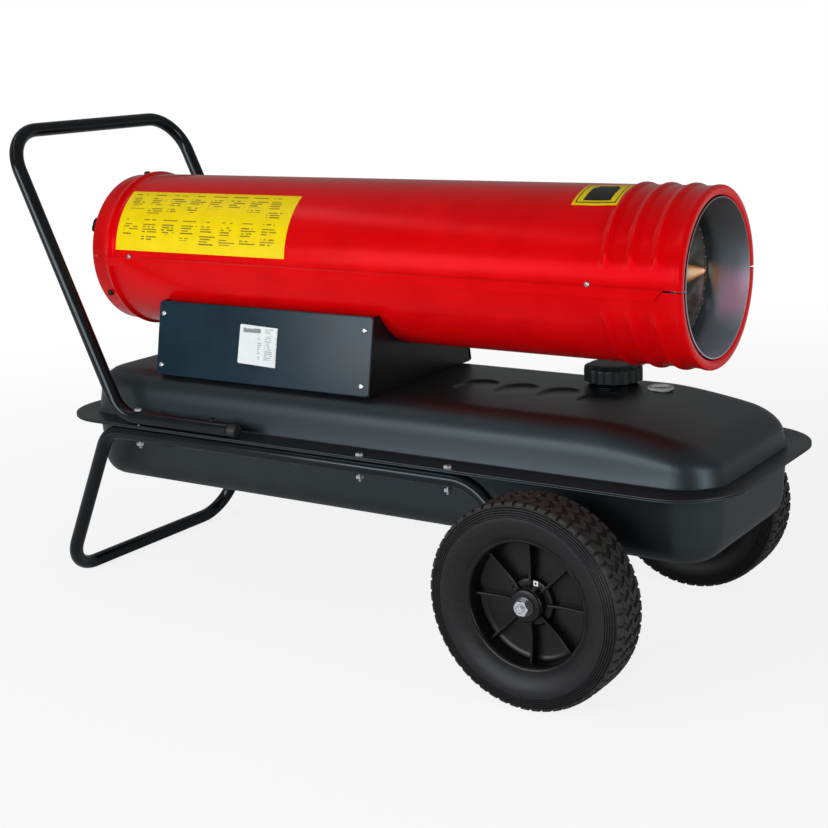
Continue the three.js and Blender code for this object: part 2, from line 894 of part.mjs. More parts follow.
function tyre(side) {
  const half = tyreWidth / 2;
  const outer = [
    [beadRadius, beadHalf],
    [rimLipRadius + seatGap, beadHalf],
    [(beadRadius + wheelRadius) / 2 + 2, half],
    [wheelRadius - 5, half - 6],
    [wheelRadius, half - 15],
  ];
  const inner = [
    [wheelRadius - tyreWall, half - tyreWall - 5],
    [beadRadius, beadHalf - tyreWall + 1],
  ];
  const mirrored = (pairs) => pairs.map(([radius, y]) => [radius, -y]).reverse();
  const profile = [...outer, ...mirrored(outer), ...mirrored(inner), ...inner];
  return placedOnAxle(turned(profile, wheelSegments), side);
}

function wheelRim(side) {
  const barrel = beadRadius - seatGap;
  const inside = beadRadius - rimWall;
  const lipIn = beadHalf + seatGap;
  const lipOut = lipIn + rimLip;
  const web = rimWeb / 2 + 2;
  const bore = bushOuter + seatGap;
  const profile = [
    [inside, lipOut],
    [rimLipRadius, lipOut],
    [rimLipRadius, lipIn],
    [barrel, lipIn],
    [barrel, -lipIn],
    [rimLipRadius, -lipIn],
    [rimLipRadius, -lipOut],
    [inside, -lipOut],
    [inside, -web - rimWeb],
    [hubRadius, -web - rimWeb],
    [hubRadius, -hubInner],
    [bore, -hubInner],
    [bore, hubOuter],
    [hubRadius, hubOuter],
    [hubRadius, -web],
    [inside, -web],
  ];
  const ribs = Array.from({ length: ribCount }, (_, k) => {
    const reach = inside + 1 - (hubRadius - 2);
    const geometry = new THREE.BoxGeometry(reach, ribThickness, ribHeight);
    geometry.translate(hubRadius - 2 + reach / 2, 0, -web - 1 + ribHeight / 2);
    geometry.rotateZ((2 * Math.PI * k) / ribCount);
    return placedOnAxle(geometry, side);
  });
  return joined(placedOnAxle(turned(profile, wheelSegments), side), ...ribs);
}

function wheelBush(side) {
  const bore = axleRadius + runningGap;
  const profile = [
    [bore, -hubInner],
    [bushOuter, -hubInner],
    [bushOuter, hubOuter],
    [bore, hubOuter],
  ];
  return placedOnAxle(turned(profile, 24), side);
}

function axleWasher(side) {
  const inner = axleThreadRadius + boltThreadGap;
  const bottom = hubOuter + seatGap;
  const profile = [
    [inner, bottom],
    [washerRadius, bottom],
    [washerRadius, bottom + washerThickness],
    [inner, bottom + washerThickness],
  ];
  return placedOnAxle(turned(profile, 24), side);
}

function axleNut(side) {
  const bottom = hubOuter + washerThickness + 2 * seatGap;
  const across = nutAcross / 2 / Math.cos(Math.PI / 6);
  const geometry = new THREE.CylinderGeometry(across, across, nutHeight, 6);
  geometry.rotateX(Math.PI / 2);
  geometry.translate(0, 0, bottom + nutHeight / 2);
  const bore = new THREE.CylinderGeometry(1, 1, nutHeight + 2, 24);
  bore.scale(axleThreadRadius + boltThreadGap, 1, axleThreadRadius + boltThreadGap);
  bore.rotateX(Math.PI / 2);
  bore.translate(0, 0, bottom + nutHeight / 2);
  return without(placedOnAxle(geometry, side), placedOnAxle(bore, side));
}

/* ------------------------------------------------------------------ heater tube */

// A low swelling around the tube, as [radius, x] pairs from rear to front.
function swelling(middle, width, height) {
  return [-1, -0.35, 0.35, 1].map((t) => {
    const rise = Math.abs(t) < 1 ? height : 0;
    return [casingRadius + rise, middle + (t * width) / 2];
  });
}

function casing() {
  const outer = [
    [rearRadius, casingRear],
    [casingRadius, taperX],
    ...swelling(beadX, beadWidth, beadHeight),
    ...ribX.flatMap((x) => swelling(x, casingRibWidth, casingRibHeight)),
    [casingRadius, outletX - lipLength],
    [lipRadius, outletX - lipLength / 2],
    [lipRadius - 1, outletX],
  ];
  const inner = [
    [mouthRadius, outletX],
    [mouthRadius, outletX - casingWall],
    [casingBore, outletX - casingWall],
    [casingBore, taperX],
    [rearRadius - casingWall, casingRear],
  ];
  return turnedOnAxis([...outer, ...inner], tubeSegments);
}

// Everything above or below a height, wider and longer than the object.
function halfSpace(z, way) {
  const far = 2000;
  return way > 0 ? block(-far, far, -far, far, z, z + far) : block(-far, far, -far, far, z - far, z);
}

// A radial hole or screw through the casing; the angle is measured up from the near side.
function radial(radius, x, angle, from, to, sides = 10) {
  const turn = degrees(angle);
  const at = (r) => point(x, -r * Math.cos(turn), casingAxisZ + r * Math.sin(turn));
  return rod(radius, at(from), at(to), sides);
}

const guardHoles = () =>
  guardScrewAngles.map((angle) =>
    radial(boltRadius + seatGap, guardScrewX, angle, casingBore - 6, casingRadius + 6),
  );

function upperCasing() {
  const shell = casing().intersect(halfSpace(casingAxisZ, 1));
  const strips = [-1, 1].map((side) => {
    const inner = side * (casingRadius + seatGap);
    const outer = side * (casingRadius + stripProud);
    const [y0, y1] = [Math.min(inner, outer), Math.max(inner, outer)];
    const strip = block(stripRear, stripFront, y0, y1, casingAxisZ - stripHeight, casingAxisZ + 2);
    const root = side * (casingRadius - casingWall / 2);
    const [r0, r1] = [Math.min(root, outer), Math.max(root, outer)];
    const fold = block(stripRear, stripFront, r0, r1, casingAxisZ + 0.5, casingAxisZ + 2);
    return joined(strip, fold);
  });
  const screws = [-1, 1].flatMap((side) =>
    seamScrewX.map((x) => {
      const z = casingAxisZ + seamScrewRise;
      return rod(3.6, point(x, side * (casingRadius - 1), z), point(x, side * (casingRadius + 3), z), 8);
    }),
  );
  return without(joined(shell, ...strips, ...screws), ...guardHoles());
}

function lowerCasing() {
  const top = casingAxisZ - seatGap;
  const shell = casing().intersect(halfSpace(top, -1));
  const slot = block(
    stripFront,
    outletX + 2,
    -casingRadius - 20,
    casingRadius + 20,
    casingAxisZ - seamGap,
    casingAxisZ + 1,
  );
  const fuelHole = rod(
    hoseRadius + movingGap,
    point(lineX, 0, casingAxisZ - casingRadius - 4),
    point(lineX, 0, casingAxisZ - casingRadius + 8),
    12,
  );
  const airHoles = [
    [airHoseDropX, airHoseY],
    [airHoseRiseX, 0],
  ].map(([x, y]) => rod(hoseRadius + movingGap, point(x, y, airHoseZ), point(x, y, airHoseZ + 60), 12));
  const stripBeds = [-1, 1].map((side) => {
    const [y0, y1] = side < 0 ? [-casingRadius - 20, -casingRadius] : [casingRadius, casingRadius + 20];
    const [x0, x1] = [stripRear - 2, stripFront + 2];
    return block(x0, x1, y0, y1, casingAxisZ - stripHeight - 2, casingAxisZ);
  });
  return without(shell, slot, ...stripBeds, fuelHole, ...airHoles, ...guardHoles());
}

function combustionChamber() {
  const flareEnd = outletX - casingWall + 1;
  const outer = [
    [burnerHole, chamberRear],
    [chamberRadius, chamberRear],
    [chamberRadius, flareX],
    [mouthInner, flareEnd],
  ];
  const inner = [
    [mouthInner - chamberWall, flareEnd],
    [chamberRadius - chamberWall, flareX],
    [chamberRadius - chamberWall, chamberRear + chamberWall],
    [burnerHole, chamberRear + chamberWall],
  ];
  const tube = turnedOnAxis([...outer, ...inner], chamberSegments);
  const lugs = Array.from({ length: lugCount }, (_, k) => {
    const reach = Math.sqrt((inscribed(casingBore, tubeSegments) - seatGap) ** 2 - (lugWidth / 2) ** 2);
    const base = chamberRadius - 1;
    const geometry = new THREE.BoxGeometry(lugThickness, lugWidth, reach - base);
    geometry.translate(chamberRear + lugStep, 0, (reach + base) / 2);
    geometry.rotateX(degrees(180 + (360 * k) / lugCount));
    geometry.translate(0, 0, casingAxisZ);
    return solid(geometry);
  });
  return joined(tube, ...lugs);
}

function flameBaffle() {
  const foot = baffleRadius - baffleRim;
  const front = baffleX + chamberWall;
  const profile = [
    [baffleHole, baffleX - baffleDepth],
    [foot, baffleX],
    [baffleRadius, baffleX],
    [baffleRadius, front],
    [foot, front],
    [baffleHole, front - baffleDepth],
  ];
  const bore = inscribed(chamberRadius - chamberWall, chamberSegments);
  const reach = Math.sqrt((bore - seatGap) ** 2 - (lugWidth / 2) ** 2);
  const base = baffleRadius - 2;
  const tabs = Array.from({ length: baffleTabs }, (_, k) => {
    const geometry = new THREE.BoxGeometry(chamberWall, lugWidth, reach - base);
    geometry.translate(baffleX + chamberWall / 2, 0, (reach + base) / 2);
    geometry.rotateX(degrees((360 * k) / baffleTabs));
    geometry.translate(0, 0, casingAxisZ);
    return solid(geometry);
  });
  return joined(turnedOnAxis(profile, chamberSegments), ...tabs);
}

function burnerHead() {
  const outer = burnerHole - seatGap - 0.5;
  const seat = chamberRear - seatGap;
  const profile = [
    [nozzleBore, seat - headSheet],
    [burnerHole + headLip, seat - headSheet],
    [burnerHole + headLip, seat],
    [outer, seat],
    [outer, chamberRear + headDepth],
    [outer - headSheet, chamberRear + headDepth],
    [outer - headSheet, chamberRear],
    [nozzleBore, chamberRear],
  ];
  const plate = turnedOnAxis(profile, 20);
  const [from, to] = [chamberRear - 6, chamberRear + 4];
  const opening = (radius, y, rise) => {
    const at = (x) => point(x, y, casingAxisZ + rise);
    return rod(radius, at(from), at(to), 12);
  };
  return without(
    plate,
    opening(sensorRadius + seatGap, -sensorOffset, 0),
    opening(electrodeBody + seatGap, 0, electrodeRise),
  );
}

function fuelNozzle() {
  const rear = lineX - nozzleBlock;
  const at = (x) => point(x, 0, casingAxisZ);
  const tip = rod(nozzleTip, at(nozzleFront - nozzleTipReach), at(nozzleFront + nozzleTipReach), 12);
  const body = rod(nozzleBlock, at(rear), at(nozzleFront), 16);
  return joined(body, tip);
}

function sparkElectrodes() {
  const z = casingAxisZ + electrodeRise;
  const body = rod(electrodeBody, point(chamberRear - 30, 0, z), point(chamberRear + 6, 0, z), 12);
  const pins = [-1, 1].map((side) => {
    const root = point(chamberRear + 5, side * electrodeSpread, z);
    const tip = point(chamberRear + 22, side * electrodeSpread, casingAxisZ + nozzleTip + 2);
    return rod(electrodePin, root, tip, 8);
  });
  return joined(body, ...pins);
}

function flameSensor() {
  const at = (x) => point(x, -sensorOffset, casingAxisZ);
  return rod(sensorRadius, at(chamberRear - 26), at(chamberRear + 1), 12);
}

function motorHousing() {
  const inner = motorRadius - motorWall;
  const [statorRear, statorFront] = [motorRear + windingsInset, motorFront - windingsInset];
  const profile = [
    [shaftBore, motorRear],
    [motorRadius, motorRear],
    [motorRadius, motorFront],
    [shaftBore, motorFront],
    [shaftBore, motorFront - motorEnd],
    [inner, motorFront - motorEnd],
    [inner, statorFront],
    [statorInner, statorFront],
    [statorInner, statorRear],
    [inner, statorRear],
    [inner, motorRear + motorEnd],
    [shaftBore, motorRear + motorEnd],
  ];
  return turnedOnAxis(profile, 20);
}

function motorRotor() {
  const clear = windingsInset + 2;
  const [rear, front] = [motorRear + clear, motorFront - clear];
  const profile = [
    [0, pumpRear + pumpCover + movingGap],
    [shaftRadius, pumpRear + pumpCover + movingGap],
    [shaftRadius, rear],
    [rotorRadius, rear],
    [rotorRadius, front],
    [shaftRadius, front],
    [shaftRadius, shaftFront],
    [0, shaftFront],
  ];
  return turnedOnAxis(profile, 20);
}

function pumpHousing() {
  const front = motorRear - seatGap;
  const profile = [
    [0, pumpRear],
    [pumpRadius, pumpRear],
    [pumpRadius, front],
    [shaftBore, front],
    [shaftBore, front - pumpWall],
    [pumpCavity, front - pumpWall],
    [pumpCavity, pumpRear + pumpCover],
    [0, pumpRear + pumpCover],
  ];
  return turnedOnAxis(profile, 20);
}

function pumpRotor() {
  const middle = (pumpRear + pumpCover + motorRear - pumpWall) / 2;
  const bore = shaftRadius + seatGap;
  const profile = [
    [bore, middle - pumpRotorWidth / 2],
    [pumpRotorRadius, middle - pumpRotorWidth / 2],
    [pumpRotorRadius, middle + pumpRotorWidth / 2],
    [bore, middle + pumpRotorWidth / 2],
  ];
  return turnedOnAxis(profile, 20);
}

function fan() {
  const bore = shaftRadius + seatGap;
  const hub = [
    [bore, fanX - fanHubLength / 2],
    [fanHub, fanX - fanHubLength / 2],
    [fanHub, fanX + fanHubLength / 2],
    [bore, fanX + fanHubLength / 2],
  ];
  const blades = Array.from({ length: bladeCount }, (_, k) => {
    const root = fanHub - 3;
    const tip = Math.sqrt(fanRadius ** 2 - (bladeWidth / 2) ** 2);
    const geometry = new THREE.BoxGeometry(bladeWidth, bladeThickness, tip - root, 1, 1, 1);
    geometry.translate(0, 0, (tip + root) / 2);
    geometry.rotateZ(degrees(90 - bladePitch));
    geometry.rotateX((2 * Math.PI * k) / bladeCount);
    geometry.translate(fanX, 0, casingAxisZ);
    return solid(geometry);
  });
  return joined(turnedOnAxis(hub, 20), ...blades);
}

function motorBracket() {
  const foot = casingAxisZ - casingBore;
  const top = casingAxisZ - motorRadius + 10;
  const body = block(bracketRear, bracketFront, -bracketHalf, bracketHalf, foot - 4, top);
  const room = rod(
    inscribed(casingBore, tubeSegments) - seatGap,
    point(bracketRear - 5, 0, casingAxisZ),
    point(bracketFront + 5, 0, casingAxisZ),
    tubeSegments,
  );
  const cradle = rod(
    motorRadius + 2 * seatGap,
    point(bracketRear - 5, 0, casingAxisZ),
    point(bracketFront + 5, 0, casingAxisZ),
    24,
  );
  const hollow = block(
    bracketRear + bracketWall,
    bracketFront - bracketWall,
    -bracketHalf - 1,
    bracketHalf + 1,
    foot + bracketWall + 4,
    casingAxisZ - motorRadius - bracketWall,
  );
  return without(body.intersect(room), cradle, hollow);
}

function rearGuard() {
  const half = guardRing / 2;
  const reach = inscribed(rearRadius - casingWall, tubeSegments) - seatGap;
  const rings = guardRings.map((radius) => {
    const profile = [
      [radius - half, guardX - half],
      [radius + half, guardX - half],
      [radius + half, guardX + half],
      [radius - half, guardX + half],
    ];
    return turnedOnAxis(profile, radius > 60 ? 24 : 12);
  });
  const bars = Array.from({ length: guardBars }, (_, k) => {
    const from = guardRings[0];
    const to = guardRings.at(-1);
    const geometry = new THREE.BoxGeometry(guardRing, guardRing, to - from);
    geometry.translate(guardX, 0, (from + to) / 2);
    geometry.rotateX((2 * Math.PI * k) / guardBars);
    geometry.translate(0, 0, casingAxisZ);
    return solid(geometry);
  });
  const mounts = guardScrewAngles.flatMap((angle) => {
    const turn = degrees(angle);
    const geometry = new THREE.BoxGeometry(...guardLug);
    geometry.translate(guardX + 7, 0, reach - 2.5);
    geometry.rotateX(degrees(90) - turn);
    geometry.translate(0, 0, casingAxisZ);
    const shank = radial(boltRadius, guardScrewX, angle, reach - 6, casingRadius + 1);
    const seat = casingRadius + seatGap;
    const head = radial(guardScrewHead, guardScrewX, angle, seat, seat + guardScrewProud);
    return [solid(geometry), shank, head];
  });
  const hooks = [-1, 1].map((side) => {
    const turn = degrees(hookAngle);
    const geometry = new THREE.BoxGeometry(...guardHook);
    geometry.translate(guardX - 7, 0, guardRings.at(-1) - 2);
    geometry.rotateX(side * (Math.PI / 2 - turn));
    geometry.translate(0, 0, casingAxisZ);
    return solid(geometry);
  });
  return joined(...rings, ...bars, ...mounts, ...hooks);
}

/* ------------------------------------------------------------------ control box */

// The box's half width at a height, drawn in square to its leaning side.
function boxHalfAt(z, inset = 0) {
  const lean = (boxHalfBottom - boxHalfTop) / (boxTop - boxFloor);
  return boxHalfBottom - (z - boxFloor) * lean - inset / Math.cos(coverLean);
}

function boxSection(z0, z1, inset) {
  return [
    [-boxHalfAt(z0, inset), z0],
    [boxHalfAt(z0, inset), z0],
    [boxHalfAt(z1, inset), z1],
    [-boxHalfAt(z1, inset), z1],
  ];
}

// The saddle in the box's top, in which the heater tube lies.
function casingSaddle() {
  const at = (x) => point(x, 0, casingAxisZ);
  return rod(casingRadius + 2 * seatGap, at(boxRear - 9), at(boxFront + 9), 64);
}

function controlBox() {
  const inset = boxSheet + seatGap;
  const outer = drawnAlongX(boxSection(boxFloor, boxTop, inset), boxRear, boxFront);
  const room = block(
    boxRear + boxSheet,
    boxFront - boxSheet,
    -boxHalfBottom - 5,
    boxHalfBottom + 5,
    boxFloor + boxSheet,
    boxTop - boxSheet,
  );
  const pipe = rod(hoseRadius + lineHole, point(lineX, 0, boxFloor - 2), point(lineX, 0, boxFloor + 6), 16);
  const onGland = (x) => point(x, glandY, glandZ);
  const gland = rod(glandStem + seatGap, onGland(boxRear - 5), onGland(boxRear + 5), 16);
  return without(outer, room, casingSaddle(), pipe, gland);
}

// A flat piece in the plane of a leaning side: u runs along X, v up the slope, w outwards.
function onSide(side, geometry, x, z) {
  geometry.rotateX(Math.PI / 2 - coverLean);
  if (side > 0) geometry.rotateZ(Math.PI);
  const y = side * boxHalfAt(z);
  geometry.translate(x, y, z);
  return solid(geometry);
}

function sidePlate(side) {
  const inner = drawnAlongX(boxSection(boxFloor - 1, boxTop, boxSheet), boxRear - 5, boxFront + 5);
  const outer = drawnAlongX(
    boxSection(boxFloor, boxTop, 0),
    boxRear - coverOverhang,
    boxFront + coverOverhang,
  );
  const upper = halfSpace(boxTop - seatGap, 1);
  const half = side < 0 ? block(-2000, 2000, -2000, 0, 0, 2000) : block(-2000, 2000, 0, 2000, 0, 2000);
  return without(outer, inner, upper).intersect(half);
}

function coverScrews(side) {
  const places = [boxFront - coverScrewInset, boxRear + coverScrewInset].flatMap((x) =>
    [boxTop - coverScrewTop, boxFloor + coverScrewBottom].map((z) => [x, z]),
  );
  return places.map(([x, z]) => {
    const geometry = new THREE.CylinderGeometry(
      coverScrewRadius * coverScrewTaper,
      coverScrewRadius,
      coverScrewHeight + 0.5,
      10,
    );
    geometry.rotateX(Math.PI / 2);
    geometry.translate(0, 0, (coverScrewHeight - 0.5) / 2);
    return onSide(side, geometry, x, z);
  });
}

const sideCover = () => joined(sidePlate(-1), ...coverScrews(-1));

function controlPanel() {
  const opening = (x, halfLength, halfWidth) => {
    const geometry = new THREE.BoxGeometry(2 * halfWidth, 2 * halfLength, 12);
    return onSide(1, geometry, x, panelMiddle);
  };
  const knobHole = new THREE.CylinderGeometry(knobShaft + seatGap, knobShaft + seatGap, 12, 16);
  knobHole.rotateX(Math.PI / 2);
  const bezel = new THREE.BoxGeometry(
    2 * (switchHalfWidth + switchFrame),
    2 * (switchHalfLength + switchFrame + movingGap),
    switchFrameHeight + 0.4,
  );
  bezel.translate(0, 0, switchFrameHeight / 2 - 0.2);
  return without(
    joined(sidePlate(1), ...coverScrews(1), onSide(1, bezel, switchX, panelMiddle)),
    opening(switchX, switchHalfLength + movingGap, switchHalfWidth + 0.6),
    onSide(1, knobHole, knobX, panelMiddle),
  );
}

function rockerSwitch() {
  const geometry = new THREE.BoxGeometry(2 * switchHalfWidth, 2 * switchHalfLength, switchDepth);
  geometry.translate(0, 0, switchProud - switchDepth / 2);
  geometry.rotateX(degrees(-switchTravel / 2));
  return onSide(1, geometry, switchX, panelMiddle);
}

function thermostatKnob() {
  const seat = seatGap;
  const profile = [
    [0, -knobShaftLength],
    [knobShaft, -knobShaftLength],
    [knobShaft, seat],
    [knobRadius, seat],
    [knobRadius - 1.5, knobHeight],
    [0, knobHeight],
  ];
  const [gripWidth, gripInset, gripHeight] = knobGrip;
  const grip = new THREE.BoxGeometry(gripWidth, 2 * knobRadius - gripInset, gripHeight + 1);
  grip.translate(0, 0, knobHeight + (gripHeight - 1) / 2);
  const body = onSide(1, turned(profile, 20), knobX, panelMiddle);
  return joined(body, onSide(1, grip, knobX, panelMiddle));
}

function cableGland() {
  const face = boxRear - seatGap;
  const profile = [
    [glandBore, face - glandLength],
    [glandRadius - 3, face - glandLength],
    [glandRadius, face - glandLength + glandCone],
    [glandRadius, face],
    [glandStem, face],
    [glandStem, boxRear + boxSheet + 6],
    [glandBore, boxRear + boxSheet + 6],
  ];
  const geometry = turned(profile, 16);
  geometry.rotateY(Math.PI / 2);
  geometry.translate(0, glandY, glandZ);
  return solid(geometry);
}

function ignitionTransformer() {
  const { x0, x1, y0, y1, height } = transformer;
  return block(x0, x1, y0, y1, insideFloor, insideFloor + height);
}

function controlBoard() {
  const { x0, x1, y0, y1, thickness } = board;
  const underside = insideFloor + boardRise;
  const legs = [x0 + boardLegInset, x1 - boardLeg - boardLegInset].flatMap((x) =>
    [y0 + boardLegInset, y1 - boardLeg - boardLegInset].map((y) =>
      block(x, x + boardLeg, y, y + boardLeg, insideFloor, underside + thickness / 2),
    ),
  );
  return joined(block(x0, x1, y0, y1, underside, underside + thickness), ...legs);
}

/* ------------------------------------------------------------------ fuel and air lines */

function suctionPipe() {
  const foot = tankBottom + pickupRise;
  const collar = tankTop + seatGap;
  const profile = [
    [0, foot],
    [pickupRadius, foot],
    [pickupRadius, foot + pickupLength],
    [hoseRadius, foot + pickupLength],
    [hoseRadius, collar],
    [hoseRadius + pipeCollar, collar],
    [hoseRadius + pipeCollar, collar + 2],
    [hoseRadius, collar + 2],
    [hoseRadius, pipeTop],
    [0, pipeTop],
  ];
  return turnedUp(profile, lineX, 0, 12);
}

function fuelHose() {
  const corners = [
    { at: point(lineX, 0, pipeTop + seatGap) },
    { at: point(lineX, 0, casingAxisZ - nozzleBlock - seatGap) },
  ];
  return bentTube(corners, hoseRadius, hoseWall, hoseFacets);
}

function airHose() {
  const start = (pumpRear + motorRear) / 2;
  const drop = Math.sqrt((pumpRadius + hoseRadius + seatGap) ** 2 - airHoseY ** 2);
  const low = casingAxisZ - casingRadius + airHoseLow;
  const corners = [
    { at: point(start, airHoseY, casingAxisZ - drop) },
    { at: point(start, airHoseY, low), bend: hoseBend },
    { at: point(airHoseDropX, airHoseY, low), bend: hoseBend },
    { at: point(airHoseDropX, airHoseY, airHoseZ), bend: hoseBend },
    { at: point(airHoseRiseX, 0, airHoseZ), bend: hoseBend },
    { at: point(airHoseRiseX, 0, casingAxisZ), bend: hoseBend },
    { at: point(lineX - nozzleBlock - seatGap, 0, casingAxisZ) },
  ];
  return bentTube(corners, hoseRadius, hoseWall, hoseFacets);
}

/* ------------------------------------------------------------------ materials and assembly */

function finish(color, roughness, metalness) {
  return new THREE.MeshStandardMaterial({ color, roughness, metalness });
}

const blackPaint = finish(0x1b1c1e, 0.5, 0.1);
const redPaint = finish(0xb80c12, 0.25, 0.1);
const bluePaint = finish(0x1a2a33, 0.35, 0.1);
const rubber = finish(0x1d1d1f, 0.85, 0);
const blackPlastic = finish(0x141416, 0.55, 0);
const zinc = finish(0xc3c6c9, 0.35, 0.9);
const steel = finish(0x8d9092, 0.4, 0.9);
const stainless = finish(0x9a9a96, 0.3, 1);
const aluminium = finish(0xb5b7b9, 0.4, 0.9);
const brass = finish(0xb08d45, 0.35, 0.9);
const clear = finish(0xdfe6e8, 0.1, 0);
const white = finish(0xe8e4da, 0.6, 0);
const green = finish(0x2b5a3a, 0.6, 0);
const cork = finish(0x8a6a44, 0.8, 0);

const heater = new THREE.Group();
heater.position.set(-bodyMiddleX, 0, 0);

function add(name, body, material) {
  const mesh = new THREE.Mesh(geometryOf(body), material);
  mesh.name = name;
  heater.add(mesh);
}

add("tank_upper_shell", tankUpperShell(), blackPaint);
add("tank_lower_shell", tankLowerShell(), blackPaint);
add("drain_plug", drainPlug(), zinc);
add("filler_neck", fillerNeck(), zinc);
add("filler_strainer", fillerStrainer(), white);
add("cap_seal", capSeal(), rubber);
add("fuel_cap", fuelCap(), blackPlastic);
add("gauge_body", gaugeBodyPiece(), zinc);
add("gauge_lens", gaugeLens(), clear);
add("gauge_needle", gaugeNeedle(), white);
add("gauge_float", gaugeFloat(), cork);
add("stand_frame", standFrame(), blackPaint);
add("push_handle", pushHandle(), blackPaint);
add("axle", axle(), steel);

for (const [side, word] of [
  [-1, "near"],
  [1, "far"],
]) {
  add("handle_end_cap_" + word, handleEndCap(side), blackPlastic);
  boltStations.forEach((x, k) => add("flange_bolt_" + word + "_" + (k + 1), flangeBolt(side, x), zinc));
  add("tyre_" + word, tyre(side), rubber);
  add("rim_" + word, wheelRim(side), blackPlastic);
  add("wheel_bush_" + word, wheelBush(side), brass);
  add("axle_washer_" + word, axleWasher(side), zinc);
  add("axle_nut_" + word, axleNut(side), zinc);
}

add("upper_casing", upperCasing(), redPaint);
add("lower_casing", lowerCasing(), redPaint);
add("rear_guard", rearGuard(), blackPaint);
add("combustion_chamber", combustionChamber(), stainless);
add("flame_baffle", flameBaffle(), stainless);
add("burner_head", burnerHead(), stainless);
add("fuel_nozzle", fuelNozzle(), brass);
add("spark_electrodes", sparkElectrodes(), white);
add("flame_sensor", flameSensor(), blackPlastic);
add("motor_housing", motorHousing(), aluminium);
add("motor_rotor", motorRotor(), steel);
add("motor_bracket", motorBracket(), steel);
add("pump_housing", pumpHousing(), aluminium);
add("pump_rotor", pumpRotor(), steel);
add("fan", fan(), aluminium);
add("control_box", controlBox(), bluePaint);
add("side_cover", sideCover(), bluePaint);
add("control_panel", controlPanel(), bluePaint);
add("rocker_switch", rockerSwitch(), blackPlastic);
add("thermostat_knob", thermostatKnob(), blackPlastic);
add("cable_gland", cableGland(), blackPlastic);
add("ignition_transformer", ignitionTransformer(), white);
add("control_board", controlBoard(), green);
add("suction_pipe", suctionPipe(), brass);
add("fuel_hose", fuelHose(), rubber);
add("air_hose", airHose(), rubber);

export default heater;
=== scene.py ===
"""The look of a wheeled forced air heater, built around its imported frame.

Sizes are in millimetres from the middle of the axle until at() turns them into the frame's metres. The outlet
faces +X, and the side with the cover plate faces -Y.
"""

import logging
import math
from collections.abc import Callable, Sequence
from dataclasses import dataclass
from enum import Enum

import bmesh
import bpy
from mathutils import Matrix, Vector


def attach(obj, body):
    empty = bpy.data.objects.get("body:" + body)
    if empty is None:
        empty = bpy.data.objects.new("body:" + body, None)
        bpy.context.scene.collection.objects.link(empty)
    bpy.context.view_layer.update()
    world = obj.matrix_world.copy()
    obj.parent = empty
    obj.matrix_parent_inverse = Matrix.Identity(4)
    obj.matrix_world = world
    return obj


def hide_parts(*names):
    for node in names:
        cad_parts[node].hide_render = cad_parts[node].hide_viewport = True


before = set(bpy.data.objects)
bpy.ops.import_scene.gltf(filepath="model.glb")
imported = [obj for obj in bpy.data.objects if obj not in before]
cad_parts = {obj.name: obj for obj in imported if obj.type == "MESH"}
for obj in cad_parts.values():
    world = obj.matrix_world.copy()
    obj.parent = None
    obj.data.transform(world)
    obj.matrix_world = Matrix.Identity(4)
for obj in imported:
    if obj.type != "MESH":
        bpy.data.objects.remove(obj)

log = logging.getLogger("heater")

MM = 0.001
AXLE_X = 0.34625  # the axle's place along the frame's X, in metres
HUB = 127  # the axle's height above the floor, in millimetres
NEAR, FAR = -1, 1  # the two sides, along Y
X, Y, Z = Vector((1, 0, 0)), Vector((0, 1, 0)), Vector((0, 0, 1))
Point = tuple[float, float]
Colour = tuple[float, float, float]


def at(x: float, y: float, z: float) -> Vector:
    """The frame's point, in metres, for millimetres from the middle of the axle."""
    return Vector((x * MM + AXLE_X, y * MM, z * MM))


def ease(value: float, start: float, end: float) -> float:
    """0 before start, 1 after end, and a smooth rise between them."""
    t = min(max((value - start) / (end - start), 0), 1)
    return t * t * (3 - 2 * t)


# ---- the workbench


class Part(Enum):
    """What a selection holds."""

    POINTS = "VERT"
    EDGES = "EDGE"
    FACES = "FACE"


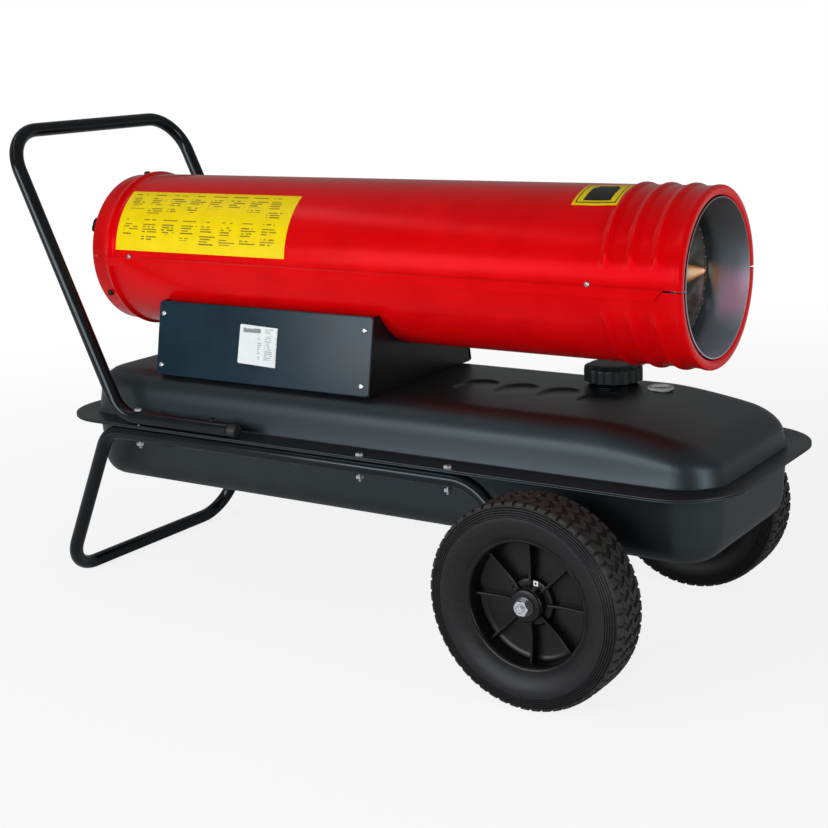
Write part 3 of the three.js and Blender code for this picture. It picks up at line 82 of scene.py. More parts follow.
class Work:
    """A piece in the making: a mesh that starts as a primitive and is shaped by operators in edit mode."""

    def __init__(self, name: str) -> None:
        """Takes the primitive that was just added, with its place in its mesh, and opens it for editing."""
        bpy.ops.object.transform_apply(location=True, rotation=True, scale=True)
        self.object = bpy.context.object
        self.object.name = name
        self.object.data.name = name
        self.edit()
        bpy.ops.mesh.select_mode(type="VERT")
        bpy.ops.mesh.select_all(action="SELECT")

    @staticmethod
    def clear() -> None:
        """Leaves edit mode and deselects everything."""
        if bpy.context.object and bpy.context.object.mode != "OBJECT":
            bpy.ops.object.mode_set(mode="OBJECT")
        bpy.ops.object.select_all(action="DESELECT")

    @classmethod
    def disc(cls, name: str, centre: Vector, radius: float, facing: Vector, sides: int = 24) -> "Work":
        """Starts from a filled circle.

        Args:
            name: The piece's name.
            centre: Its middle, in metres.
            radius: Its radius, in millimetres.
            facing: The way that it faces.
            sides: The number of its corners.

        Returns:
            The piece in the making.
        """
        cls.clear()
        turn = facing.to_track_quat("Z", "Y").to_euler()
        bpy.ops.mesh.primitive_circle_add(
            vertices=sides, radius=radius * MM, fill_type="NGON", location=centre, rotation=turn
        )
        return cls(name)

    @classmethod
    def block(cls, name: str, low: Vector, high: Vector) -> "Work":
        """Starts from a box between two corners."""
        cls.clear()
        bpy.ops.mesh.primitive_cube_add(size=1, location=(low + high) / 2, scale=high - low)
        return cls(name)

    @classmethod
    def panel(cls, name: str, low: Vector, high: Vector) -> "Work":
        """Starts from a flat rectangle between two corners at one height."""
        cls.clear()
        size = high - low
        bpy.ops.mesh.primitive_plane_add(size=1, location=(low + high) / 2)
        bpy.context.object.scale = (size.x, size.y, 1)
        return cls(name)

    @classmethod
    def line(cls, name: str, points: Sequence[Vector]) -> "Work":
        """Starts from a plane merged to one point, which is extruded from point to point."""
        cls.clear()
        bpy.ops.mesh.primitive_plane_add(size=MM, location=points[0])
        work = cls(name)
        bpy.ops.mesh.merge(type="CENTER")
        for here, there in zip(points, points[1:]):
            bpy.ops.mesh.extrude_vertices_move(TRANSFORM_OT_translate={"value": there - here})
        return work

    @classmethod
    def turned(
        cls,
        name: str,
        profile: Sequence[Point],
        middle: Vector,
        axis: Vector,
        sides: int = 48,
        start: Vector | None = None,
        degrees: float = 360,
    ) -> "Work":
        """Turns a profile round an axis, as on a lathe.

        Args:
            name: The piece's name.
            profile: Pairs of the way along the axis and the radius, in millimetres.
            middle: The point on the axis that the way along is measured from.
            axis: The axis.
            sides: The number of steps.
            start: The direction from the axis in which the profile lies first.
            degrees: How far it turns.

        Returns:
            The piece in the making, with its doubles merged and its faces turned outwards.
        """
        out = start if start is not None else (Z if abs(axis.z) < 0.9 else X)
        work = cls.line(name, [middle + axis * (a * MM) + out * (r * MM) for a, r in profile])
        bpy.ops.mesh.select_all(action="SELECT")
        work.spin(sides, degrees, middle, axis)
        return work.tidy()

    @classmethod
    def tube(
        cls, name: str, corners: Sequence[tuple[Vector, float]], radius: float, sides: int = 24
    ) -> "Work":
        """Draws a round bar along straight runs and spun bends.

        Args:
            name: The piece's name.
            corners: Each corner of the path and the radius of its bend in millimetres, 0 at both ends.
            radius: The bar's radius.
            sides: The number of its sides.

        Returns:
            The piece in the making, closed at both ends.
        """
        first = corners[0][0]
        work = cls.disc(name, first, radius, (corners[1][0] - first).normalized(), sides)
        here = first
        for (before, _), (corner, bend), (after, _) in zip(corners, corners[1:], corners[2:]):
            way_in, way_out = (corner - before).normalized(), (after - corner).normalized()
            turned = way_in.angle(way_out)
            setback = bend * MM * math.tan(turned / 2)
            work.extrude(corner - way_in * setback - here)
            here = corner - way_in * setback
            axis = way_in.cross(way_out).normalized()
            middle = here + axis.cross(way_in) * (bend * MM)
            steps = max(4, round(math.degrees(turned) / 5))
            work.spin(steps, math.degrees(turned), middle, axis)
            here = corner + way_out * setback
        work.extrude(corners[-1][0] - here)
        return work.tidy()

    def edit(self) -> "Work":
        """Opens the mesh for editing, with nothing else selected."""
        self.clear()
        self.object.select_set(True)
        bpy.context.view_layer.objects.active = self.object
        bpy.ops.object.mode_set(mode="EDIT")
        return self

    def close(self) -> "Work":
        """Leaves edit mode with the piece selected and active."""
        self.clear()
        self.object.select_set(True)
        bpy.context.view_layer.objects.active = self.object
        return self

    def pick(self, part: Part, test: Callable[[Vector, Vector], bool]) -> "Work":
        """Selects points, edges or faces by their place, in millimetres from the axle, and their direction.

        Args:
            part: Points, edges or faces.
            test: Says for a place and a direction, a normal or an edge's way, if the item is selected.

        Returns:
            The piece, still open.
        """
        bpy.ops.mesh.select_mode(type=part.value)
        bpy.ops.mesh.select_all(action="DESELECT")
        mesh = bmesh.from_edit_mesh(self.object.data)
        for item in {Part.POINTS: mesh.verts, Part.EDGES: mesh.edges, Part.FACES: mesh.faces}[part]:
            if part is Part.FACES:
                place, way = item.calc_center_median(), item.normal
            elif part is Part.EDGES:
                place = (item.verts[0].co + item.verts[1].co) / 2
                way = (item.verts[1].co - item.verts[0].co).normalized()
            else:
                place, way = item.co, item.normal
            item.select_set(test(self.measured(place), way))
        mesh.select_flush_mode()
        bmesh.update_edit_mesh(self.object.data)
        return self

    @staticmethod
    def measured(place: Vector) -> Vector:
        """A point of the frame in millimetres from the axle."""
        return Vector(((place.x - AXLE_X) / MM, place.y / MM, place.z / MM))

    def pick_all(self) -> "Work":
        """Selects the whole mesh."""
        bpy.ops.mesh.select_all(action="SELECT")
        return self

    def extrude(self, way: Vector) -> "Work":
        """Extrudes the selection, in metres."""
        bpy.ops.mesh.extrude_region_move(TRANSFORM_OT_translate={"value": way})
        return self

    def move(self, way: Vector) -> "Work":
        """Moves the selection, in metres."""
        bpy.ops.transform.translate(value=way)
        return self

    def scale(self, factors: Sequence[float], about: Vector) -> "Work":
        """Scales the selection along X, Y and Z about a point."""
        bpy.ops.transform.resize(value=factors, center_override=about)
        return self

    def rotate(self, degrees: float, axis: str, about: Vector) -> "Work":
        """Turns the selection anticlockwise about an axis; with no window the operator's sign is reversed."""
        bpy.ops.transform.rotate(value=-math.radians(degrees), orient_axis=axis, center_override=about)
        return self

    def inset(self, thickness: float, depth: float = 0) -> "Work":
        """Insets the selected faces, in millimetres, and moves them along their normals."""
        bpy.ops.mesh.inset(thickness=thickness * MM, depth=depth * MM)
        return self

    def bevel(self, width: float, segments: int = 3, corners: bool = False) -> "Work":
        """Bevels the selected edges, or the selected corners of a flat outline."""
        affect = "VERTICES" if corners else "EDGES"
        bpy.ops.mesh.bevel(offset=width * MM, segments=segments, affect=affect, clamp_overlap=False)
        return self

    def spin(self, steps: int, degrees: float, middle: Vector, axis: Vector) -> "Work":
        """Sweeps the selection round an axis; the operator turns clockwise, so the axis is reversed."""
        bpy.ops.mesh.spin(
            steps=steps, angle=math.radians(degrees), center=middle, axis=-axis, use_auto_merge=False
        )
        return self

    def repeat(self, count: int, middle: Vector, axis: Vector, degrees: float = 360) -> "Work":
        """Copies the selection round an axis, so that count of it stand evenly within the given turn."""
        bpy.ops.mesh.spin(
            steps=count - 1,
            dupli=True,
            angle=math.radians(degrees * (count - 1) / count),
            center=middle,
            axis=-axis,
            use_auto_merge=False,
        )
        return self

    def cut(self, place: Vector, normal: Vector, drop: str = "") -> "Work":
        """Cuts the selection with a plane.

        Args:
            place: A point on the plane.
            normal: The way that it faces.
            drop: "front" or "back" for the side that is taken away, or nothing.

        Returns:
            The piece, still open.
        """
        bpy.ops.mesh.bisect(
            plane_co=place, plane_no=normal, clear_inner=drop == "back", clear_outer=drop == "front"
        )
        return self

    def tidy(self, reach: float = 0.01) -> "Work":
        """Merges doubles within a reach in millimetres and turns the faces outwards."""
        bpy.ops.mesh.select_all(action="SELECT")
        bpy.ops.mesh.remove_doubles(threshold=reach * MM)
        bpy.ops.mesh.normals_make_consistent(inside=False)
        return self

    def apply(self, kind: str, **settings: object) -> "Work":
        """Adds a modifier with these settings, applies it, and opens the mesh again."""
        self.close()
        modifier = self.object.modifiers.new(kind.title(), kind)
        for key, value in settings.items():
            setattr(modifier, key, value)
        bpy.ops.object.modifier_apply(modifier=modifier.name)
        return self.edit()

    def thicken(self, thickness: float, offset: float = -1) -> "Work":
        """Gives an open sheet its wall, inwards from the drawn surface unless the offset says otherwise."""
        return self.apply("SOLIDIFY", thickness=thickness * MM, offset=offset, use_even_offset=True)

    def soften(self, width: float, segments: int = 2, angle: float = 35) -> "Work":
        """Rounds every edge that is sharper than an angle."""
        return self.apply(
            "BEVEL",
            width=width * MM,
            segments=segments,
            limit_method="ANGLE",
            angle_limit=math.radians(angle),
            use_clamp_overlap=True,
        )

    def push(self, distance: float, way: str, share: Callable[[Vector], float]) -> "Work":
        """Moves each point by its own share of a distance, through a displacement on a vertex group.

        Args:
            distance: The full distance in millimetres.
            way: X, Y, Z or NORMAL.
            share: The share, from 0 to 1, for a point in millimetres from the axle.

        Returns:
            The piece, open again.
        """
        self.close()
        group = self.object.vertex_groups.new(name="share")
        for vertex in self.object.data.vertices:
            weight = share(self.measured(vertex.co))
            if weight > 0:
                group.add([vertex.index], weight, "REPLACE")
        self.apply("DISPLACE", strength=distance * MM, mid_level=0, direction=way, vertex_group=group.name)
        self.object.vertex_groups.clear()
        return self

    def carve(self, tool: "Work", operation: str = "DIFFERENCE") -> "Work":
        """Cuts another piece's shape out of this one, or keeps what both share, and removes that piece."""
        tool.close()
        self.apply("BOOLEAN", operation=operation, solver="EXACT", object=tool.object)
        bpy.data.objects.remove(tool.object)
        return self

    def join(self, *others: "Work") -> "Work":
        """Takes other pieces into this one's mesh."""
        for other in others:
            other.close()
        self.close()
        for other in others:
            other.object.select_set(True)
        bpy.ops.object.join()
        return self.edit()

    def copied(self, name: str, place: Matrix) -> "Work":
        """A copy with its own mesh, set in another place by a matrix."""
        self.close()
        bpy.ops.object.duplicate(linked=False)
        twin = Work.__new__(Work)
        twin.object = bpy.context.object
        twin.object.name = name
        twin.object.data.name = name
        twin.object.data.transform(place)
        if place.determinant() < 0:
            twin.edit().pick_all()
            bpy.ops.mesh.flip_normals()
        return twin

    def moved(self, name: str, place: Matrix) -> "Work":
        """The piece itself, set in another place by a matrix."""
        twin = self.copied(name, place)
        bpy.data.objects.remove(self.object)
        return twin

    def finish(
        self,
        material: bpy.types.Material,
        slot: str,
        *nodes: str,
        body: str = "heater",
        angle: float = 32,
        weighted: bool = False,
    ) -> bpy.types.Object:
        """Closes the piece: smooth shading, its finish, and its place on the frame.

        Args:
            material: The material.
            slot: The record's material slot; not used.
            nodes: The nodes of the frame that the piece stands for.
            body: The body that it rides on.
            angle: Edges sharper than this stay sharp, in degrees.
            weighted: Says if large flat faces keep their own shading up to a rounded edge.

        Returns:
            The finished object.
        """
        self.close()
        bpy.ops.object.shade_smooth_by_angle(angle=math.radians(angle))
        if weighted:
            self.apply("WEIGHTED_NORMAL", keep_sharp=True).close()
        self.object.data.materials.clear()
        self.object.data.materials.append(material)
        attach(self.object, body)
        if nodes:
            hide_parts(*nodes)
        log.info("%s: %d faces", self.object.name, len(self.object.data.polygons))
        return self.object


# ---- finishes


class Value:
    """A number that varies over a surface; arithmetic on it adds Math nodes."""

    def __init__(self, net: "Net", socket: bpy.types.NodeSocket) -> None:
        """Wraps an output socket of a net."""
        self.net = net
        self.socket = socket

    def math(self, operation: str, *others: "Value | float") -> "Value":
        """This value and others through one Math node."""
        return self.net.node("ShaderNodeMath", {"operation": operation}, dict(enumerate((self, *others))))

    def __add__(self, other: "Value | float") -> "Value":
        """The sum."""
        return self.math("ADD", other)

    __radd__ = __add__

    def __mul__(self, other: "Value | float") -> "Value":
        """The product."""
        return self.math("MULTIPLY", other)

    __rmul__ = __mul__

    def __sub__(self, other: "Value | float") -> "Value":
        """The difference."""
        return self.math("SUBTRACT", other)

    def __rsub__(self, other: float) -> "Value":
        """A number less this value."""
        return self.net.node("ShaderNodeMath", {"operation": "SUBTRACT"}, {0: other, 1: self})

    def __truediv__(self, other: float) -> "Value":
        """The quotient."""
        return self.math("DIVIDE", other)

    def __gt__(self, other: "Value | float") -> "Value":
        """1 where this value is greater."""
        return self.math("GREATER_THAN", other)

    def __lt__(self, other: "Value | float") -> "Value":
        """1 where this value is less."""
        return self.math("LESS_THAN", other)

    def floor(self) -> "Value":
        """The whole part."""
        return self.math("FLOOR")

    def part(self) -> "Value":
        """What is left of it above its whole part."""
        return self.math("FRACT")

    def between(self, low: float, high: float) -> "Value":
        """0 at low, 1 at high and beyond, in a straight line between."""
        settings = {"clamp": True}
        return self.net.node(
            "ShaderNodeMapRange", settings, {"Value": self, "From Min": low, "From Max": high}, "Result"
        )


class Net:
    """The nodes of one material, around its Principled shader."""

    def __init__(self, name: str) -> None:
        """Makes the material and finds its shader."""
        self.material = bpy.data.materials.new(name)
        self.material.use_nodes = True
        self.tree = self.material.node_tree
        self.shader = self.tree.nodes["Principled BSDF"]

    @classmethod
    def around(cls, tree: bpy.types.NodeTree) -> "Net":
        """A net for a node tree that has no Principled shader, such as the world's."""
        net = cls.__new__(cls)
        net.tree = tree
        return net

    def node(
        self,
        kind: str,
        settings: dict[str, object] | None = None,
        sockets: dict[str | int, object] | None = None,
        output: str | int = 0,
    ) -> Value:
        """Adds any node.

        Args:
            kind: Its type.
            settings: Its own settings, which are made first.
            sockets: Numbers, colours or values for its inputs.
            output: Which output is wanted.

        Returns:
            That output as a value.
        """
        made = self.tree.nodes.new(kind)
        for key, value in (settings or {}).items():
            setattr(made, key, value)
        for key, value in (sockets or {}).items():
            self.feed(made.inputs[key], value)
        return Value(self, made.outputs[output])

    def feed(self, socket: bpy.types.NodeSocket, value: object) -> None:
        """Links a value to a socket, or sets the socket's own number or colour."""
        if isinstance(value, Value):
            self.tree.links.new(value.socket, socket)
        elif isinstance(value, tuple) and socket.type == "RGBA" and len(value) == 3:
            socket.default_value = (*value, 1)
        else:
            socket.default_value = value

    def place(self) -> Value:
        """The place on the object, in metres."""
        return self.node("ShaderNodeTexCoord", output="Object")

    def axes(self) -> tuple[Value, Value, Value]:
        """The place's X, Y and Z, in millimetres from the axle."""
        split = self.node("ShaderNodeSeparateXYZ", {}, {0: self.place()}).socket.node
        x, y, z = (Value(self, socket) for socket in split.outputs)
        return (x - AXLE_X) / MM, y / MM, z / MM

    def noise(
        self, size: float, detail: float = 3, roughness: float = 0.5, stretch: Colour = (1, 1, 1)
    ) -> Value:
        """A cloudy pattern around 0.5.

        Args:
            size: The size of its spots in millimetres.
            detail: The number of its finer layers.
            roughness: The weight of those layers.
            stretch: The spots' length along each axis, as a factor.

        Returns:
            The pattern.
        """
        scale = tuple(1 / s for s in stretch)
        where = self.node("ShaderNodeMapping", {}, {"Vector": self.place(), "Scale": scale})
        return self.node(
            "ShaderNodeTexNoise",
            {},
            {"Vector": where, "Scale": 1 / (size * MM), "Detail": detail, "Roughness": roughness},
            "Fac",
        )

    def random(self, x: Value, y: Value) -> Value:
        """A number from 0 to 1 for each pair of whole numbers."""
        cell = self.node("ShaderNodeCombineXYZ", {}, {0: x, 1: y})
        return self.node("ShaderNodeTexWhiteNoise", {"noise_dimensions": "2D"}, {"Vector": cell}, "Value")

    def mix(self, share: Value | float, first: Value | Colour, second: Value | Colour) -> Value:
        """Two colours mixed by a share."""
        return self.node(
            "ShaderNodeMix", {"data_type": "RGBA"}, {"Factor": share, 6: first, 7: second}, 2
        )

    def bump(self, height: Value, distance: float, strength: float = 1) -> Value:
        """A normal from a height, whose full distance is in millimetres."""
        sockets = {"Height": height, "Distance": distance * MM, "Strength": strength}
        return self.node("ShaderNodeBump", {}, sockets, "Normal")

    def dress(self, **sockets: object) -> bpy.types.Material:
        """Sets or links the shader's sockets, named with underscores for spaces."""
        for key, value in sockets.items():
            self.feed(self.shader.inputs[key.replace("_", " ").replace("Base color", "Base Color")], value)
        return self.material


@dataclass(frozen=True)
class Paint:
    """Sprayed or powdered paint: a base colour with slight clouding, orange peel and a little dust."""

    name: str
    colour: Colour
    rough: float = 0.35
    grain: float = 0.9  # size of the orange peel, in millimetres
    relief: float = 0.02  # depth of the orange peel
    clouding: float = 0.12
    coat: float = 0.0
    dust: float = 0.0
    specular: float = 0.5
    tint: Colour = (1, 1, 1)

    def make(self) -> bpy.types.Material:
        """The material."""
        net = Net(self.name)
        clouds = net.noise(60, 2)
        fine = net.noise(self.grain, 4, 0.6)
        light = tuple(min(1, c * (1 + self.clouding) + 0.001) for c in self.colour)
        dark = tuple(c * (1 - self.clouding) for c in self.colour)
        colour = net.mix(clouds.between(0.35, 0.65), dark, light)
        if self.dust:
            grey = (0.05, 0.05, 0.052)
            colour = net.mix(fine.between(0.56, 0.72) * self.dust, colour, grey)
        rough = clouds * 0.06 + fine * 0.08 + (self.rough - 0.07)
        return net.dress(
            Base_Color=colour,
            Roughness=rough,
            Normal=net.bump(fine, self.relief),
            Coat_Weight=self.coat,
            Coat_Roughness=0.12,
            Specular_IOR_Level=self.specular,
            Specular_Tint=self.tint,
        )


@dataclass(frozen=True)
class Moulded:
    """Moulded plastic or rubber: fine spark-eroded grain, and dust in the light."""

    name: str
    colour: Colour
    rough: float = 0.5
    grain: float = 0.5
    relief: float = 0.02
    dust: float = 0.0
    dust_colour: Colour = (0.06, 0.055, 0.048)
    specular: float = 0.3

    def make(self) -> bpy.types.Material:
        """The material."""
        net = Net(self.name)
        clouds = net.noise(25, 3)
        fine = net.noise(self.grain, 3, 0.6)
        lighter = tuple(min(1, c * 1.25 + 0.001) for c in self.colour)
        colour = net.mix(clouds.between(0.3, 0.7), self.colour, lighter)
        if self.dust:
            colour = net.mix(net.noise(6, 5, 0.7).between(0.45, 0.75) * self.dust, colour, self.dust_colour)
        rough = fine * 0.1 + clouds * 0.1 + (self.rough - 0.1)
        normal = net.bump(fine, self.relief)
        return net.dress(Base_Color=colour, Roughness=rough, Normal=normal, Specular_IOR_Level=self.specular)


@dataclass(frozen=True)
class Metal:
    """Bare or plated metal: brushed or cast relief, faint stains and a varying polish."""

    name: str
    colour: Colour
    rough: float = 0.3
    stretch: Colour = (1, 1, 1)
    grain: float = 0.6
    relief: float = 0.01
    stain: Colour = (0.3, 0.27, 0.24)
    stained: float = 0.25

    def make(self) -> bpy.types.Material:
        """The material."""
        net = Net(self.name)
        clouds = net.noise(9, 4, 0.6)
        brush = net.noise(self.grain, 4, 0.65, self.stretch)
        colour = net.mix(clouds.between(0.5, 0.75) * self.stained, self.colour, self.stain)
        rough = brush * 0.14 + clouds * 0.1 + (self.rough - 0.12)
        normal = net.bump(brush, self.relief)
        return net.dress(Base_Color=colour, Roughness=rough, Metallic=1.0, Normal=normal)


@dataclass(frozen=True)
class HeatTintAndPaintedLight:
    """Chamber steel, brushed round, with painted light: lighter and bluish low down and darker on top; past
    the baffle a fan of straw, pink and violet that is partly heat colour and partly painted highlight, with a
    painted star highlight; darker behind the baffle.
    """

    name: str
    axis_z: float

    def make(self) -> bpy.types.Material:
        """The material."""
        net = Net(self.name)
        x, y, z = net.axes()
        clouds = net.noise(30, 3, 0.55)
        brush = net.noise(0.8, 4, 0.65, (14, 1, 1))
        height = z - self.axis_z
        along = (x - 78.0) / 52.0
        # Painted light: the wall is lighter and bluish low down and darker on top, as light falls inside the
        # tube.
        colour = net.mix(height.between(-60, 60), (0.64, 0.74, 0.84), (0.26, 0.27, 0.265))
        colour = net.mix(clouds.between(0.3, 0.7) * 0.3, colour, (0.26, 0.27, 0.27))
        # The fan from the baffle's far edge is partly the steel's straw, pink and violet heat colours and
        # partly painted highlight spreading from the gap.
        top, bottom = along * -6.0 + 3.0, (along * -150.0 - 8.0).math("MAXIMUM", -66.0)
        middle, half = (top + bottom) * 0.5, (top - bottom) * 0.5 + 4.0
        off = ((height - middle) / half).math("ABSOLUTE")
        fan = (1.0 - off.between(0.35, 1.05)) * y.between(20, 70) * (along > 0.0)
        orange = fan * (1.0 - (along - height / 160.0).between(0.25, 0.6))
        orange = orange * (1.0 - height.between(0, 14) * 0.5)
        pink = fan * along.between(0.2, 0.5) * (1.0 - along.between(0.86, 1.0) * 0.6)
        violet = fan * along.between(0.72, 0.98) * height.between(-25, 10)
        # Painted highlight: a pale star where the fan starts at the baffle's edge.
        painted_star_highlight = fan * (1.0 - along.between(0.05, 0.2))
        colour = net.mix(orange * 0.9, colour, (0.95, 0.42, 0.22))
        colour = net.mix(pink * 0.9, colour, (1.0, 0.52, 0.72))
        colour = net.mix(violet * 0.8, colour, (0.50, 0.24, 0.58))
        colour = net.mix(painted_star_highlight * 0.9, colour, (0.86, 0.84, 0.62))
        # Darker behind the baffle, below x 72.
        behind_baffle_dark = (1 - x.between(72, 78)) * 0.8
        colour = net.mix(behind_baffle_dark, colour, (0.06, 0.055, 0.05))
        rough = brush * 0.14 + clouds * 0.12 + 0.27
        # Where the painted fan lies, the steel is less metallic so that its colours show.
        metal = 0.92 - fan * 0.5
        return net.dress(Base_Color=colour, Roughness=rough, Metallic=metal, Normal=net.bump(brush, 0.012))


@dataclass(frozen=True)
class BaffleSteel:
    """The baffle's dark scaled steel, with a painted orange highlight round the cone, in a wedge from its far
    edge, and painted shade beside it.
    """

    name: str
    axis_z: float

    def make(self) -> bpy.types.Material:
        """The material."""
        net = Net(self.name)
        _, y, z = net.axes()
        height = z - self.axis_z
        clouds = net.noise(12, 4, 0.6)
        colour = net.mix(clouds.between(0.4, 0.7), (0.05, 0.047, 0.04), (0.12, 0.11, 0.095))
        # Painted light: an orange to cream highlight wedge from the far edge, standing for the flame's
        # reflection, with painted shade round it.
        reach = 78.0 - y
        off = (height + 4.0).math("ABSOLUTE") / (reach * 0.34 + 1.5)
        near = (reach > 3.0) * (1 - reach.between(26, 46))
        painted_highlight_wedge = (1 - off.between(0.4, 1.0)) * near
        shade = (1 - off.between(1.0, 1.9)) * near
        colour = net.mix(shade * 0.85, colour, (0.03, 0.026, 0.02))
        glow = net.mix(off.between(0.0, 0.8), (1.0, 0.74, 0.46), (0.95, 0.36, 0.08))
        colour = net.mix(painted_highlight_wedge * 0.95, colour, glow)
        rough, metal, normal = clouds * 0.2 + 0.2, 0.85 - painted_highlight_wedge * 0.6, net.bump(clouds, 0.05)
        return net.dress(Base_Color=colour, Roughness=rough, Metallic=metal, Normal=normal)


@dataclass(frozen=True)
class Clear:
    """Clear moulded glass or plastic with faint smudges."""

    name: str

    def make(self) -> bpy.types.Material:
        """The material."""
        net = Net(self.name)
        smudge = net.noise(5, 3)
        colour = net.mix(smudge.between(0.4, 0.6), (0.93, 0.95, 0.95), (0.88, 0.91, 0.91))
        return net.dress(
            Base_Color=colour, Roughness=smudge * 0.06 + 0.02, Transmission_Weight=1.0, IOR=1.45,
            Normal=net.bump(smudge, 0.004),
        )


class Ink(Enum):
    """What is printed on a label."""

    COLUMNS = "eight columns of plain bars"
    PANEL = "a thin border round one plain panel"
    TABLE = "a small table of plain bars"


@dataclass(frozen=True)
class Label:
    """A printed film whose print is plain bars, laid out along X and up the surface."""

    name: str
    ground: Colour
    ink_colour: Colour
    print: Ink
    left: float
    right: float
    low: float
    high: float
    axis_z: float = 0.0  # the tube's axis, where the label lies round it
    radius: float = 0.0

    def upright(self, net: Net, y: Value, z: Value) -> Value:
        """The way up the surface: a height, or a length round the tube."""
        if not self.radius:
            return z
        return (z - self.axis_z).math("ARCTAN2", y * -1.0) * self.radius

    def bars(self, net: Net, u: Value, v: Value, columns: int, rows: int, fill: float = 0.78) -> Value:
        """Plain bars in columns: each row of a column has its own length and its own gaps."""
        across, down = u * columns, v * rows
        column, row = across.floor(), down.floor()
        length = net.random(column, row + 3.0) * 0.42 + (fill - 0.34)
        along = across.part()
        inside = (along > 0.06) * (along < length)
        word = (across * 9.0).floor()
        gaps = net.random(word, row + 11.0) > 0.16
        height = (down.part() > 0.22) * (down.part() < 0.72)
        return inside * gaps * height

    def make(self) -> bpy.types.Material:
        """The material."""
        net = Net(self.name)
        x, y, z = net.axes()
        u = (x - self.left) / (self.right - self.left)
        v = (self.upright(net, y, z) - self.low) / (self.high - self.low)
        prints = {Ink.COLUMNS: self.columns, Ink.PANEL: self.panel, Ink.TABLE: self.table}
        ink = prints[self.print](net, u, v)
        fade = net.noise(20, 2)
        ground = net.mix(fade.between(0.3, 0.7), self.ground, tuple(c * 0.93 for c in self.ground))
        film = net.noise(2.5, 3)
        return net.dress(
            Base_Color=net.mix(ink, ground, self.ink_colour),
            Roughness=film * 0.1 + 0.3,
            Normal=net.bump(film, 0.01),
            Specular_IOR_Level=0.12,
        )

    def columns(self, net: Net, u: Value, v: Value) -> Value:
        """Two rows of eight blocks, each a heading over two short paragraphs of bars."""
        cu, cv = (u - 0.03) / 0.94, (1.0 - v - 0.05) / 0.9
        row, column, half = (cv * 24.0).floor(), (cu * 8.0).floor(), cv > 0.5
        line = (cv * 2.0).part() * 12.0
        depth = net.random(column, half + 20.0) * 3.5 + 6.5
        split = net.random(column, half + 40.0) * 2.0 + 4.5
        body = (line < depth) * (1.0 - (line > split) * (line < split + 1.0))
        gap = (line > 1.0) * (line < 1.8)
        ink = self.bars(net, cu, cv, 8, 24) * self.within(cu, cv) * (body + (line < 1.0)).math("MINIMUM", 1.0)
        return ink * (1.0 - gap) * (0.62 + net.random(column, row) * 0.2)

    def panel(self, net: Net, u: Value, v: Value) -> Value:
        """A thin border round a plain panel whose upper corners are cut off."""
        edge_u = (u - 0.5).math("ABSOLUTE")
        edge_v = (v - 0.5).math("ABSOLUTE")
        border = ((edge_u > 0.42).math("MAXIMUM", edge_v > 0.38)) * (edge_u < 0.445) * (edge_v < 0.415)
        panel = (edge_u < 0.3) * (v > 0.17) * (v < 0.9) * (edge_u + v * 0.8 < 0.9)
        return border.math("MAXIMUM", panel)

    def table(self, net: Net, u: Value, v: Value) -> Value:
        """A heading over a table of faint bars."""
        cu, cv = (u - 0.06) / 0.88, (1.0 - v - 0.06) / 0.88
        table = (cu > 0.36) * (cv > 0.2) * (cv < 0.9)
        heading = (cv < 0.14) * (cu < 0.42) * (cu > 0.02)
        rows = (table + (cv < 0.14)).math("MINIMUM", 1.0)
        ink = self.bars(net, cu, cv, 4, 18) * self.within(cu, cv) * rows * 0.55
        return ink.math("MAXIMUM", heading * (cv > 0.03) * 0.75)

    @staticmethod
    def within(u: Value, v: Value) -> Value:
        """1 where both values lie between 0 and 1."""
        return (u > 0.0) * (u < 1.0) * (v > 0.0) * (v < 1.0)


